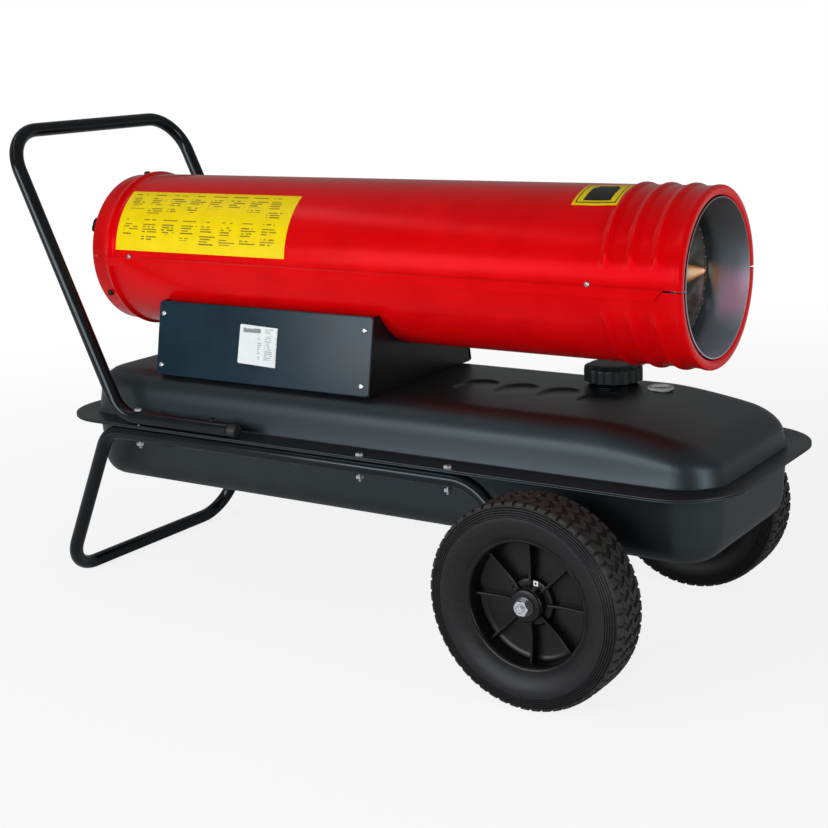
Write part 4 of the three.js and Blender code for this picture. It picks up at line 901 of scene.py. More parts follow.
class Finishes:
    """Every material of the heater, each made once."""

    def __init__(self) -> None:
        """Makes them all."""
        axis = Casing.axis_z
        self.tank = Paint(
            "tank_paint", (0.0062, 0.0062, 0.0066), 0.42, 0.8, 0.07, 0.15, 0, 0.1, 0.5, (0.72, 0.9, 1)
        ).make()
        self.frame = Paint(
            "frame_paint", (0.004, 0.0043, 0.005), 0.18, 1.2, 0.01, specular=0.27, tint=(0.8, 0.92, 1)
        ).make()
        self.tube = Paint(
            "tube_paint", (0.66, 0.0008, 0.002), 0.22, 1.6, 0.01, 0.05, specular=0.4, tint=(1, 0.004, 0.03)
        ).make()
        # The covers' teal is painted reflection: their paint is black, and the teal base colour stands for
        # the teal light that they mirror.
        self.box = Paint("box_paint", (0.0025, 0.018, 0.030), 0.2, 1.3, 0.008, 0.14, specular=0.2).make()
        self.shell = Paint("shell_paint", (0.0045, 0.005, 0.0055), 0.3, 1.3, 0.01, 0.14, specular=0.2).make()
        self.tyre = Moulded(
            "tyre_rubber", (0.007, 0.007, 0.008), 0.45, 0.8, dust=0.15, specular=0.25
        ).make()
        self.tread = Moulded(
            "tread_rubber", (0.016, 0.0155, 0.0145), 0.62, 0.8, 0.05, 0.8, (0.05, 0.043, 0.034)
        ).make()
        self.rubber = Moulded("plain_rubber", (0.018, 0.018, 0.018), 0.6, 0.6, 0.02, dust=0.3).make()
        self.rim = Moulded(
            "rim_plastic", (0.005, 0.005, 0.0052), 0.3, 1.5, 0.012, dust=0.04, specular=0.26
        ).make()
        self.plastic = Moulded("black_plastic", (0.0105, 0.0115, 0.0118), 0.42, 0.5, 0.02, dust=0.1).make()
        self.cap = Moulded(
            "cap_plastic", (0.006, 0.0095, 0.0095), 0.45, 0.5, 0.03, dust=0.04, specular=0.2
        ).make()
        self.white = Moulded("white_plastic", (0.78, 0.77, 0.73), 0.35, 0.8, 0.01).make()
        self.gauge = Moulded(
            "gauge_plastic", (0.33, 0.34, 0.32), 0.4, 1.2, 0.02, dust=0.9, dust_colour=(0.07, 0.07, 0.068)
        ).make()
        self.ceramic = Moulded("ceramic_glaze", (0.74, 0.71, 0.66), 0.22, 1.2, 0.01).make()
        self.board = Moulded("circuit_board", (0.025, 0.11, 0.05), 0.4, 1.0, 0.02).make()
        self.cork = Moulded("cork", (0.34, 0.21, 0.10), 0.8, 1.4, 0.2, 0.4, (0.14, 0.08, 0.04)).make()
        self.zinc = Metal("zinc_plate", (0.70, 0.73, 0.77), 0.26, grain=0.4, stained=0.15).make()
        self.steel = Metal("turned_steel", (0.42, 0.42, 0.43), 0.34, (1, 6, 1)).make()
        self.bolt = Metal("bolt_zinc", (0.42, 0.43, 0.45), 0.36, grain=0.4, stained=0.5).make()
        self.dull = Metal("dull_steel", (0.10, 0.10, 0.105), 0.4, grain=0.5).make()
        self.galvanised = Metal("galvanised_sheet", (0.52, 0.53, 0.54), 0.38, grain=2.5, stained=0.4).make()
        self.aluminium = Metal("cast_aluminium", (0.55, 0.56, 0.57), 0.42, grain=0.5, relief=0.04).make()
        self.brass = Metal("brass", (0.62, 0.44, 0.17), 0.28, grain=0.5, stain=(0.22, 0.13, 0.05)).make()
        self.chamber = HeatTintAndPaintedLight("chamber_steel", axis).make()
        self.baffle = BaffleSteel("baffle_steel", axis).make()
        self.clear = Clear("clear_lens").make()
        yellow, black = (0.90, 0.66, 0.002), (0.02, 0.02, 0.018)
        skin = Casing.radius
        self.large_label = Label(
            "large_label", yellow, black, Ink.COLUMNS, -756, -446,
            skin * math.radians(6), skin * math.radians(55.5), axis, skin,
        ).make()
        self.small_label = Label(
            "small_label", yellow, black, Ink.PANEL, -34.6, 27.3,
            skin * math.radians(55), skin * math.radians(83), axis, skin,
        ).make()
        self.plate = Label(
            "data_plate_print", (0.78, 0.80, 0.80), (0.06, 0.06, 0.065), Ink.TABLE, -525, -438, 342.7, 397.7
        ).make()


# ---- fasteners


@dataclass
class Screw:
    """A pan head screw with a cross recess, modelled once and set wherever one shows."""

    name: str = "screw"
    radius: float = 4.2
    height: float = 2.4
    recess: float = 2.4
    washer: float = 0.0

    def model(self) -> Work:
        """The head, standing on the frame's origin and facing +Z."""
        r, h = self.radius, self.height
        dome = [(h * math.sin(a), r * (0.45 + 0.55 * math.cos(a))) for a in (0.25, 0.6, 0.95, 1.3)]
        profile = [(-0.4, 0), (-0.4, r), (0.1 * h, r), *dome, (h, 0)]
        if self.washer:
            ring = [(-0.4, self.washer), (0.25 * h, self.washer), (0.35 * h, self.washer - 0.5)]
            profile = [(-0.4, 0), *ring, (0.35 * h, r), *dome, (h, 0)]
        head = Work.turned(self.name, profile, Vector((0, 0, 0)), Z, 20)
        for long_side, short_side in ((self.recess, 0.7), (0.7, self.recess)):
            low = Vector((-long_side, -short_side, h - 1.6)) * MM
            high = Vector((long_side, short_side, h + 1)) * MM
            head.carve(Work.block("recess", low, high))
        return head

    def set(self, places: Sequence[tuple[Vector, Vector]], turn: float = 25) -> Work:
        """Copies of the head at points of the frame, joined to one mesh.

        Args:
            places: Pairs of a point and the way that the head faces.
            turn: How far each head is turned past the last, in degrees.

        Returns:
            The heads, open.
        """
        head = self.model()
        copies = []
        for k, (where, facing) in enumerate(places):
            lie = facing.to_track_quat("Z", "Y").to_matrix().to_4x4()
            place = Matrix.Translation(where) @ lie @ Matrix.Rotation(math.radians(turn * k + 10), 4, "Z")
            copies.append(head.copied(f"{self.name}_{k}", place))
        head.close()
        bpy.data.objects.remove(head.object)
        heads = copies[0].join(*copies[1:])
        heads.object.name = self.name
        return heads


# ---- heater tube


@dataclass
class Casing:
    """The red tube: two pressed half shells with three ribs, a rear bead, a rolled lip and a seam strip."""

    radius = 110.0
    axis_z = 479.4
    front: float = 131.0
    rear: float = -805.0
    rear_radius: float = 108.5
    taper_x: float = -783.0
    wall: float = 1.2
    ribs: tuple[float, ...] = (32.0, 64.5, 97.0)
    rib_width: float = 17.0
    rib_height: float = 3.3
    bead_x: float = -770.0
    bead_width: float = 14.0
    bead_height: float = 4.2
    mouth: float = 98.6
    strip_front: float = 106.0
    strip_rear: float = -790.0
    strip_low: float = 12.5
    strip_out: float = 113.2
    slot: float = 2.4
    screw_x: tuple[float, ...] = (-729.0, 10.6)
    steps: int = 100

    def profile(self) -> list[Point]:
        """The skin from the rear edge to the rolled lip, as places along the tube and radii."""
        r = self.radius
        points = [(self.rear + 1.5, self.rear_radius - 2.2), (self.rear, self.rear_radius - 1.2)]
        points += [(self.rear + 0.6, self.rear_radius), (self.taper_x, r)]
        for k in range(13):
            along = self.bead_width * (k / 12 - 0.5)
            rise = self.bead_height * (0.5 + 0.5 * math.cos(2 * math.pi * along / self.bead_width)) ** 0.8
            points.append((self.bead_x + along, r + rise))
        points += [(x, r) for x in (-755, -700, -600, -500, -400, -300, -200, -100, -50, 0)]
        first = self.ribs[0] - self.rib_width / 2 - 1
        last = self.ribs[-1] + self.rib_width / 2 + 1
        count = round((last - first) / 1.4)
        points += [(first + (last - first) * k / count, r) for k in range(count + 1)]
        points += [(113, r), (119, r + 0.2), (123, r + 0.9), (126, r + 1.6), (128.6, r + 1.5)]
        points += [(130.3, r + 0.5), (self.front, r - 1.6), (self.front, r - 4.5), (130.6, r - 7.8)]
        points += [(129.4, r - 10.2), (127.2, self.mouth), (124, self.mouth), (120, self.mouth + 0.3)]
        return points

    def rib_share(self, way: int) -> Callable[[Vector], float]:
        """How far each point of the upper or lower half rises into the ribs, which fade at the seam."""

        def share(p: Vector) -> float:
            """The share for one point."""
            bell = 0.0
            for rib in self.ribs:
                off = abs(p.x - rib) / (self.rib_width / 2)
                if off < 1:
                    bell = (0.5 + 0.5 * math.cos(math.pi * off)) ** 0.85
            lift = way * (p.z - self.axis_z)
            fade = ease(lift, 17, 44) if way > 0 else ease(lift, 20, 46)
            return bell * fade

        return share

    def half(self, name: str, way: int) -> Work:
        """One half shell: 1 for the upper, -1 for the lower."""
        drop = 0.0 if way > 0 else 0.3
        middle = at(0, 0, self.axis_z - drop)
        shell = Work.turned(name, self.profile(), middle, X, self.steps, -Y, -180.0 * way)
        shell.push(self.rib_height, "NORMAL", self.rib_share(way))
        return shell

    def strip(self, side: int) -> Work:
        """The upper half's joggled flange over the seam, with its front corner cut off."""
        z, out = self.axis_z, self.strip_out
        section = [(110.0, z + 3.2), (110.6, z + 1.8), (112.4, z + 0.8), (out, z - 0.2)]
        section += [(out, z - self.strip_low + 1), (out - 0.3, z - self.strip_low)]
        work = Work.line("strip", [at(self.strip_rear, side * y, h) for y, h in section])
        work.pick_all().extrude(X * ((self.strip_front + 4 - self.strip_rear) * MM))
        work.pick_all().cut(at(self.strip_front - 4, 0, z - 6), Vector((1, 0, -0.9)).normalized(), "front")
        work.tidy()
        work.pick(Part.FACES, lambda p, n: abs(n.y) > 0.9)
        faces = bmesh.from_edit_mesh(work.object.data).faces
        if any(face.select and face.normal.y * side < 0 for face in faces):
            work.pick_all()
            bpy.ops.mesh.flip_normals()
        return work.thicken(self.wall)

    def build(self, finishes: Finishes) -> None:
        """Makes both halves, their screws and their labels."""
        upper = self.half("upper_shell_of_tube", 1).thicken(self.wall).soften(0.25, 2, 60)
        upper.join(*(self.strip(side) for side in (NEAR, FAR)))
        upper.finish(finishes.tube, "tube_paint", "upper_casing")
        lower = self.half("lower_shell_of_tube", -1).thicken(self.wall)
        low = at(self.strip_front, -140, self.axis_z - self.slot)
        high = at(self.front + 5, 140, self.axis_z + 3)
        lower.carve(Work.block("slot", low, high))
        lower.soften(0.25, 2, 60)
        lower.finish(finishes.tube, "tube_paint", "lower_casing")
        y, z = self.radius + 1.4, self.axis_z + 2.6
        places = [(at(x, side * y, z), Y * side) for side in (NEAR, FAR) for x in self.screw_x]
        Screw("seam_screws", 3.6, 2.4, 2.0).set(places).finish(finishes.bolt, "zinc")
        self.label("large_label", -756, -446, 6, 55.5).finish(finishes.large_label, "tube_paint")
        self.label("small_label", -34.6, 27.3, 55, 83).finish(finishes.small_label, "tube_paint")

    def label(self, name: str, left: float, right: float, low: float, high: float) -> Work:
        """A printed film on the upper half, between two places along it and two angles above the seam."""
        start = Vector((0, -math.cos(math.radians(low)), math.sin(math.radians(low))))
        r = self.radius + 0.22
        profile = [(left, r), ((left + right) / 2, r), (right, r)]
        steps = max(8, round((high - low) / 1.8))
        film = Work.turned(name, profile, at(0, 0, self.axis_z), X, steps, start, -(high - low))
        if name.startswith("small"):
            film.push(self.rib_height, "NORMAL", self.rib_share(1))
        return film.thicken(0.18, 0)


@dataclass
class Chamber:
    """The combustion chamber and the dished baffle in it."""

    rear: float = -400.0
    radius: float = 92.0
    flare_x: float = 88.0
    mouth: float = 97.7
    mouth_x: float = 130.4
    hole: float = 40.0
    wall: float = 1.5
    baffle_x: float = 80.5
    baffle_radius: float = 80.0
    baffle_foot: float = 70.0
    baffle_hole: float = 45.0
    cone: float = 12.0
    tabs: int = 3
    tab_width: float = 14.0
    rivets: int = 36

    def build(self, finishes: Finishes) -> None:
        """Makes the chamber with its lugs, and the baffle with its tabs and rivets."""
        middle = at(0, 0, Casing.axis_z)
        r = self.radius
        profile = [
            (self.rear, self.hole), (self.rear, r - 7), (self.rear + 2, r - 2), (self.rear + 7, r),
            (-300, r), (-150, r), (0, r), (70, r), (74, r + 0.7), (82, r + 0.7), (self.flare_x - 1, r),
            (self.flare_x + 6, r + 0.8), (self.mouth_x - 3, self.mouth - 0.5), (self.mouth_x, self.mouth),
        ]
        shell = Work.turned("chamber_shell", profile, middle, X, 96).thicken(self.wall)
        lug = Work.block("lug", at(self.rear + 29, -7, Casing.axis_z + r - 1), at(self.rear + 31, 7, 587.2))
        lug.pick_all().repeat(3, middle, X)
        lug.pick_all().rotate(180, "X", middle)
        shell.join(lug).finish(finishes.chamber, "stainless", "combustion_chamber")
        self.baffle(middle).finish(finishes.baffle, "stainless", "flame_baffle")
        x, edge = self.baffle_x, self.baffle_radius - 3.2
        rivet = Work.disc("baffle_rivets", at(x - 0.3, 0, Casing.axis_z + edge), 1.3, X, 10)
        rivet.extrude(X * 0.9 * MM).scale((1, 0.6, 0.6), at(x + 0.6, 0, Casing.axis_z + edge))
        rivet.pick_all().repeat(self.rivets, middle, X)
        rivet.finish(finishes.brass, "stainless")

    def baffle(self, middle: Vector) -> Work:
        """A flat ring with a beaded rim round a cone that dips towards the burner, on three tabs."""
        x, edge, foot, hole = self.baffle_x, self.baffle_radius, self.baffle_foot, self.baffle_hole
        dish = [
            (x - 0.9, edge - 0.2), (x - 0.2, edge), (x, edge - 0.7), (x, foot + 1.5), (x - 0.3, foot),
            (x - self.cone / 2, (foot + hole) / 2), (x - self.cone + 0.6, hole + 1.6), (x - self.cone, hole),
        ]
        made = Work.turned("dished_baffle", dish, middle, X, 96).thicken(1.2)
        half, z = self.tab_width / 2, Casing.axis_z
        tab = Work.block("tab", at(x - 1.3, -half, z + edge - 2), at(x - 0.2, half, z + 90.1))
        tab.soften(0.3)
        tab.pick_all().repeat(self.tabs, middle, X)
        return made.join(tab)


@dataclass
class Intake:
    """What the rear end shows: the wire guard, the fan, the motor and the pump on it."""

    guard_x: float = -799.0
    wire: float = 1.3
    fine_wire: float = 1.0
    rings: tuple[float, ...] = (30.0, 67.0, 104.0)
    fine_rings: tuple[float, ...] = (17.5, 42.5, 55.0, 79.0, 91.5)
    bars: int = 6
    screw_x: float = -787.0
    screw_angles: tuple[float, ...] = (90.0, -30.0, 210.0)
    hook_angle: float = 25.0
    motor_rear: float = -735.0
    motor_front: float = -615.0
    motor_radius: float = 48.0
    pump_rear: float = -775.0
    pump_radius: float = 43.0
    fan_x: float = -578.0
    fan_radius: float = 98.0
    hub_radius: float = 20.0
    blades: int = 5
    chord: float = 46.0

    def build(self, finishes: Finishes) -> None:
        """Makes each piece."""
        self.guard().finish(finishes.frame, "frame_paint", "rear_guard")
        places = []
        for angle in self.screw_angles:
            a = math.radians(angle)
            out = Vector((0, -math.cos(a), math.sin(a)))
            places.append((at(self.screw_x, 0, Casing.axis_z) + out * (110.2 * MM), out))
        Screw("guard_screws", 5.0, 4.0, 2.6).set(places).finish(finishes.plastic, "frame_paint")
        self.motor(finishes)
        self.fan().finish(finishes.aluminium, "aluminium", "fan", body="fan_rotor")

    def guard(self) -> Work:
        """Concentric wires welded to six bars, three lugs and the two cord hooks."""
        middle = at(0, 0, Casing.axis_z)
        made = []
        wires = [(r, self.wire) for r in self.rings] + [(r, self.fine_wire) for r in self.fine_rings]
        for radius, wire in wires:
            ring = Work.disc("wire", at(self.guard_x, 0, Casing.axis_z + radius), wire, Y, 8)
            ring.spin(72, 360, middle, X).tidy()
            made.append(ring)
        bar = Work.disc("bar", at(self.guard_x + 1.6, 0, Casing.axis_z + 16), self.wire, Z, 8)
        bar.extrude(Z * (104 - 16) * MM)
        bar.pick_all().repeat(self.bars, middle, X)
        made.append(bar)
        for angle in self.screw_angles:
            low = at(self.guard_x - 1, -6, Casing.axis_z + 101.6)
            lug = Work.block("lug", low, at(-784, 6, Casing.axis_z + 104.6))
            lug.pick_all().rotate(90 - angle, "X", middle)
            made.append(lug.soften(0.6))
        for side in (NEAR, FAR):
            hook = Work.block("hook", at(-814, -11, Casing.axis_z + 99), at(-798, 11, Casing.axis_z + 105))
            hook.pick(Part.EDGES, lambda p, n: p.x < -813 and abs(n.z) > 0.9).bevel(6, 4)
            hook.pick_all().rotate(-side * (90 - self.hook_angle), "X", middle)
            made.append(hook.soften(0.8))
        guard = made[0].join(*made[1:])
        guard.object.name = "intake_guard"
        return guard

    def motor(self, finishes: Finishes) -> None:
        """The motor's ribbed shell, its end shields and the pump."""
        middle = at(0, 0, Casing.axis_z)
        r, rear, front = self.motor_radius, self.motor_rear, self.motor_front
        shell = [(rear, 5.2), (rear, 20), (rear + 2, 22), (rear + 2, r - 8), (rear + 4, r - 3)]
        shell += [(rear + 10, r - 1.5), (rear + 22, r - 1.5), (rear + 22.5, r), (rear + 26, r)]
        for k in range(9):
            x = rear + 30 + k * 7.2
            shell += [(x, r), (x + 0.6, r - 1.6), (x + 2.4, r - 1.6), (x + 3, r)]
        shell += [(front - 22.5, r), (front - 22, r - 1.5), (front - 10, r - 1.5), (front - 4, r - 3)]
        shell += [(front - 2, r - 8), (front - 2, 22), (front, 20), (front, 5.2)]
        shell += [(front - 10, 5.2), (front - 10, r - 4), (rear + 10, r - 4), (rear + 10, 5.2), (rear, 5.2)]
        motor = Work.turned("motor_shell", shell, middle, X, 64)
        motor.finish(finishes.aluminium, "aluminium", "motor_housing")
        p, cover = self.pump_radius, self.pump_rear
        body = [(cover, 0), (cover, 9), (cover + 1.5, 10), (cover + 1.5, 30), (cover, 32), (cover, p - 1.2)]
        body += [(cover + 1.2, p), (cover + 9, p), (cover + 9.5, p - 1), (cover + 11, p - 1)]
        body += [(cover + 11.5, p), (rear - 1.5, p), (rear - 0.3, p - 1.2), (rear - 0.3, 5.2)]
        body += [(rear - 6, 5.2), (rear - 6, 29), (cover + 5, 29), (cover + 5, 0)]
        pump = Work.turned("pump_body", body, middle, X, 56)
        pump.finish(finishes.aluminium, "aluminium", "pump_housing")
        places = []
        for k in range(6):
            a = math.radians(60 * k + 30)
            places.append((at(cover, 36.5 * math.cos(a), Casing.axis_z + 36.5 * math.sin(a)), -X))
        Screw("pump_screws", 3.4, 2.6, 1.8).set(places).finish(finishes.zinc, "aluminium")

    def fan(self) -> Work:
        """A spun hub with riveted blades that twist towards their tips."""
        middle = at(self.fan_x, 0, Casing.axis_z)
        r = self.hub_radius
        hub = [(-13, 5.4), (-13, r - 3), (-11, r), (9, r), (11.5, r - 2), (13, r - 6), (13, 5.4), (-13, 5.4)]
        made = Work.turned("fan_wheel", hub, middle, X, 40)
        half = self.chord / 2 - 3
        points = []
        for k in range(7):
            t = k / 6 * 2 - 1
            points.append(middle + Vector((half * t * 0.62, -half * t * 0.79, 17)) * MM)
        blade = Work.line("blade", points).pick_all()
        steps = 8
        for k in range(steps):
            rise = (self.fan_radius - 17) / steps
            blade.extrude(Z * rise * MM)
            blade.rotate(2.2, "Z", middle)
            grow = 1 + 0.035 * (1 if k < 4 else -1.6 if k > 6 else 0)
            blade.scale((grow, grow, 1), middle)
        blade.tidy().thicken(1.8, 0).soften(0.5, 2, 50)
        blade.pick_all().repeat(self.blades, middle, X)
        return made.join(blade)


# ---- fuel tank


@dataclass
class Tank:
    """The two pressed shells of the fuel tank with their flanges, the filler and the gauge."""

    rear: float = -812.0
    front: float = 182.0
    half: float = 148.0
    corner: float = 58.0
    flange_rear: float = -836.7
    flange_front: float = 207.5
    flange_half: float = 186.0
    flange_corner: float = 86.0
    flange_top: float = 254.0
    sheet: float = 2.0
    top: float = 317.5
    bottom: float = 156.0
    draft: float = 4.0
    shoulder: float = 38.0
    lower_shoulder: float = 31.0
    nose_start: float = 10.0
    nose_drop: float = 30.0
    nose_power: float = 1.6
    nose_cuts: int = 16
    nose_step: float = 8.6
    dimples: int = 4
    dimple_first: float = -27.0
    dimple_pitch: float = 62.0
    dimple_radius: float = 27.0
    dimple_length: float = 72.0
    dimple_y: float = -5.0
    dimple_depth: float = 3.2
    dimple_step: float = 2.0

    def droop(self, x: float) -> float:
        """The share of the height above the flange that is left at a place along the nose."""
        t = max(0.0, (x - self.nose_start) / (self.front - self.nose_start))
        return 1 - self.nose_drop / (self.top - self.flange_top) * t**self.nose_power

    def dimple_share(self, p: Vector) -> float:
        """How deep a point lies in a dimple: steep at the far edge and rising flush to the near side."""
        deepest = 0.0
        reach = self.dimple_length / 2 - self.dimple_radius
        for k in range(self.dimples):
            x = p.x - (self.dimple_first - k * self.dimple_pitch)
            y = p.y - self.dimple_y
            over = max(abs(y) - reach, 0.0)
            edge = self.dimple_radius - math.hypot(x, over)
            if edge > 0:
                ramp = ease(0.8 * y - 0.6 * x, -30, 26)
                deepest = max(deepest, ease(edge, 0, 3.2) * ramp)
        return deepest

    def shell(self, name: str, level: float, way: int) -> Work:
        """A flat sheet with the outline of the wall's foot.

        Args:
            name: The piece's name.
            level: Its height.
            way: 1 if the shell bulges upwards, -1 if downwards.

        Returns:
            The sheet, with its face selected.
        """
        low, high = at(self.rear, -self.half, level), at(self.front, self.half, level)
        work = Work.panel(name, low, high).pick_all()
        work.bevel(self.corner, 14, corners=True)
        if way < 0:
            work.pick_all()
            bpy.ops.mesh.flip_normals()
        return work

    def pressed(self, name: str, level: float, depth: float, shoulder: float, way: int) -> Work:
        """One shell: flange, fillet, drafted wall and rounded shoulder, all inset from one outline."""
        work = self.shell(name, level, way)
        steps = 7
        sections = [(0.9, 0.3), (0.6, 0.6), (0.4, 1.2)]
        wall = depth - shoulder - 2.1
        sections += [(self.draft * 0.5, wall / 2), (self.draft * 0.5, wall / 2)]
        last = (0.0, 0.0)
        for k in range(1, steps + 1):
            a = math.radians(90 * k / steps)
            here = (shoulder * (1 - math.cos(a)), shoulder * math.sin(a))
            sections.append((here[0] - last[0], here[1] - last[1]))
            last = here
        for inward, rise in sections:
            work.inset(inward, rise)
        work.inset(6, 0)
        return work

    def flange(self, work: Work, level: float) -> Work:
        """Adds the flange outside the wall's foot, with its wider corners."""
        low = at(self.flange_rear, -self.flange_half, level)
        high = at(self.flange_front, self.flange_half, level)
        plate = Work.panel("flange", low, high).pick_all()
        plate.bevel(self.flange_corner, 16, corners=True).pick_all()
        plate.inset(1.2, 0)
        plate.inset(self.flange_half - self.half - 1.2 + 0.4, 0)
        bpy.ops.mesh.delete(type="ONLY_FACE")
        plate.thicken(self.sheet, -1 if level > 252 else 1).soften(0.6, 2, 50)
        return work.join(plate)

    def build(self, finishes: Finishes) -> None:
        """Makes the shells, the filler, the gauge and the drain plug."""
        level = self.flange_top
        upper = self.pressed("upper_shell_of_tank", level, self.top - level, self.shoulder, 1)
        for k in range(self.nose_cuts):
            upper.pick_all().cut(at(self.nose_start + self.nose_step * k, 0, level), X)
        end = self.dimple_first - (self.dimples - 1) * self.dimple_pitch
        edge = self.dimple_radius + 4
        self.grid(upper, X, end - edge, self.dimple_first + edge)
        reach = self.dimple_length / 2 + 6
        self.grid(upper, Y, self.dimple_y - reach, self.dimple_y + reach)
        upper.pick_all()
        upper.push(-self.dimple_depth, "Z", self.dimple_share)
        rise = self.top - level
        upper.push(-rise, "Z", lambda p: (p.z - level) / rise * (1 - self.droop(p.x)))
        self.open_filler(upper)
        upper.thicken(self.sheet)
        self.flange(upper, level).finish(finishes.tank, "tank_paint", "tank_upper_shell")
        seat = level - 2 * self.sheet - 0.3
        lower = self.pressed("lower_shell_of_tank", seat, seat - self.bottom, self.lower_shoulder, -1)
        lower.thicken(self.sheet)
        self.flange(lower, seat).finish(finishes.tank, "tank_paint", "tank_lower_shell")
        Filler().build(finishes)
        plug = [(156, 0), (156, 7), (152, 7), (152, 11), (147, 11), (146, 10), (146, 0)]
        drain = Work.turned("drain_screw", plug, at(110, 0, 0), Z, 6)
        drain.soften(0.4).finish(finishes.zinc, "zinc", "drain_plug")

    def grid(self, upper: Work, way: Vector, first: float, last: float) -> None:
        """Cuts the flat top across a way, at even steps between two places along it."""
        for k in range(round((last - first) / self.dimple_step) + 1):
            upper.pick(Part.FACES, lambda p, n: n.z > 0.99 and p.z > self.top - 1)
            upper.cut(at(0, 0, self.top) + way * ((first + k * self.dimple_step) * MM), way)

    def open_filler(self, upper: Work) -> None:
        """Takes the sheet away under the filler neck."""
        tool = Work.disc("hole", at(Filler.x, Filler.y, self.top - 30), 26.6, Z, 48).extrude(Z * 0.06)
        upper.carve(tool.tidy())


@dataclass
class Filler:
    """The filler neck with its strainer and cap, and the gauge beside it."""

    x = -48.0
    y = 72.0
    neck: float = 27.0
    collar: float = 34.0
    neck_top: float = 332.0
    cap_radius: float = 39.0
    cap_low: float = 325.0
    cap_top: float = 347.5
    lobes: int = 14
    lobe_depth: float = 2.2
    ribs_per_lobe: int = 3
    gauge_x: float = 20.0

    def grip(self, p: Vector) -> float:
        """How far the cap's skirt sinks: scallops between the lobes, with fine grooves on each lobe."""
        angle = math.atan2(p.y - self.y, p.x - self.x)
        wave = 0.5 - 0.5 * math.cos(angle * self.lobes)
        fine = 0.5 - 0.5 * math.cos(angle * self.lobes * self.ribs_per_lobe)
        fade = ease(math.hypot(p.x - self.x, p.y - self.y), self.cap_radius - 8, self.cap_radius - 3)
        return fade * (0.8 * (1 - wave) ** 2 + 0.2 * fine)

    def build(self, finishes: Finishes) -> None:
        """Makes the neck, the cap and the gauge."""
        middle = at(self.x, self.y, 0)
        n, c, top = self.neck, self.collar, self.neck_top
        profile = [(310, n), (317.7, n), (317.8, c - 1), (318.2, c), (319.4, c), (320, c - 1.2)]
        profile += [(320.6, n + 2), (322.5, n + 0.3), (325, n), (top - 1, n), (top, n - 0.6)]
        profile += [(top, n - 1.8), (310, n - 2), (310, n)]
        neck = Work.turned("neck_of_tank", profile, middle, Z, 56)
        neck.finish(finishes.frame, "frame_paint", "filler_neck")
        r = self.cap_radius
        cap = [(self.cap_low, r), (self.cap_low + 0.8, r)]
        cap += [(self.cap_low + 2 + k * 2.2, r) for k in range(7)]
        cap += [(342.0, r - 0.3), (343.6, r - 1.4), (344.7, r - 3.4), (345.6, r - 6.4), (346.3, r - 7.6)]
        cap += [(346.9, r - 9.5), (347.2, r - 15), (347.4, r - 26), (self.cap_top, 0)]
        lid = Work.turned("cap_of_tank", cap, middle, Z, 168)
        lid.push(-self.lobe_depth, "NORMAL", self.grip)
        lid.thicken(3.2).finish(finishes.cap, "black_plastic", "fuel_cap", body="cap", angle=40)
        self.gauge(finishes)

    def gauge(self, finishes: Finishes) -> None:
        """The gauge's body with a dial, its bezel and its lens."""
        middle = at(self.gauge_x, self.y, 0)
        body = [(304, 0), (304, 14), (317.7, 14), (317.8, 16.4), (318.4, 17), (320.4, 17), (321.2, 16.2)]
        body += [(321.2, 13), (320.4, 12), (319.6, 12), (319.6, 11.2), (317.2, 11.2), (317.2, 0)]
        Work.turned("gauge_rim", body, middle, Z, 48).finish(finishes.gauge, "white_plastic", "gauge_body")
        lens = [(320.2, 0), (320.2, 11.7), (321.0, 11.7), (321.3, 9), (321.4, 0)]
        Work.turned("gauge_window", lens, middle, Z, 48).finish(finishes.clear, "clear_lens", "gauge_lens")


# ---- frame


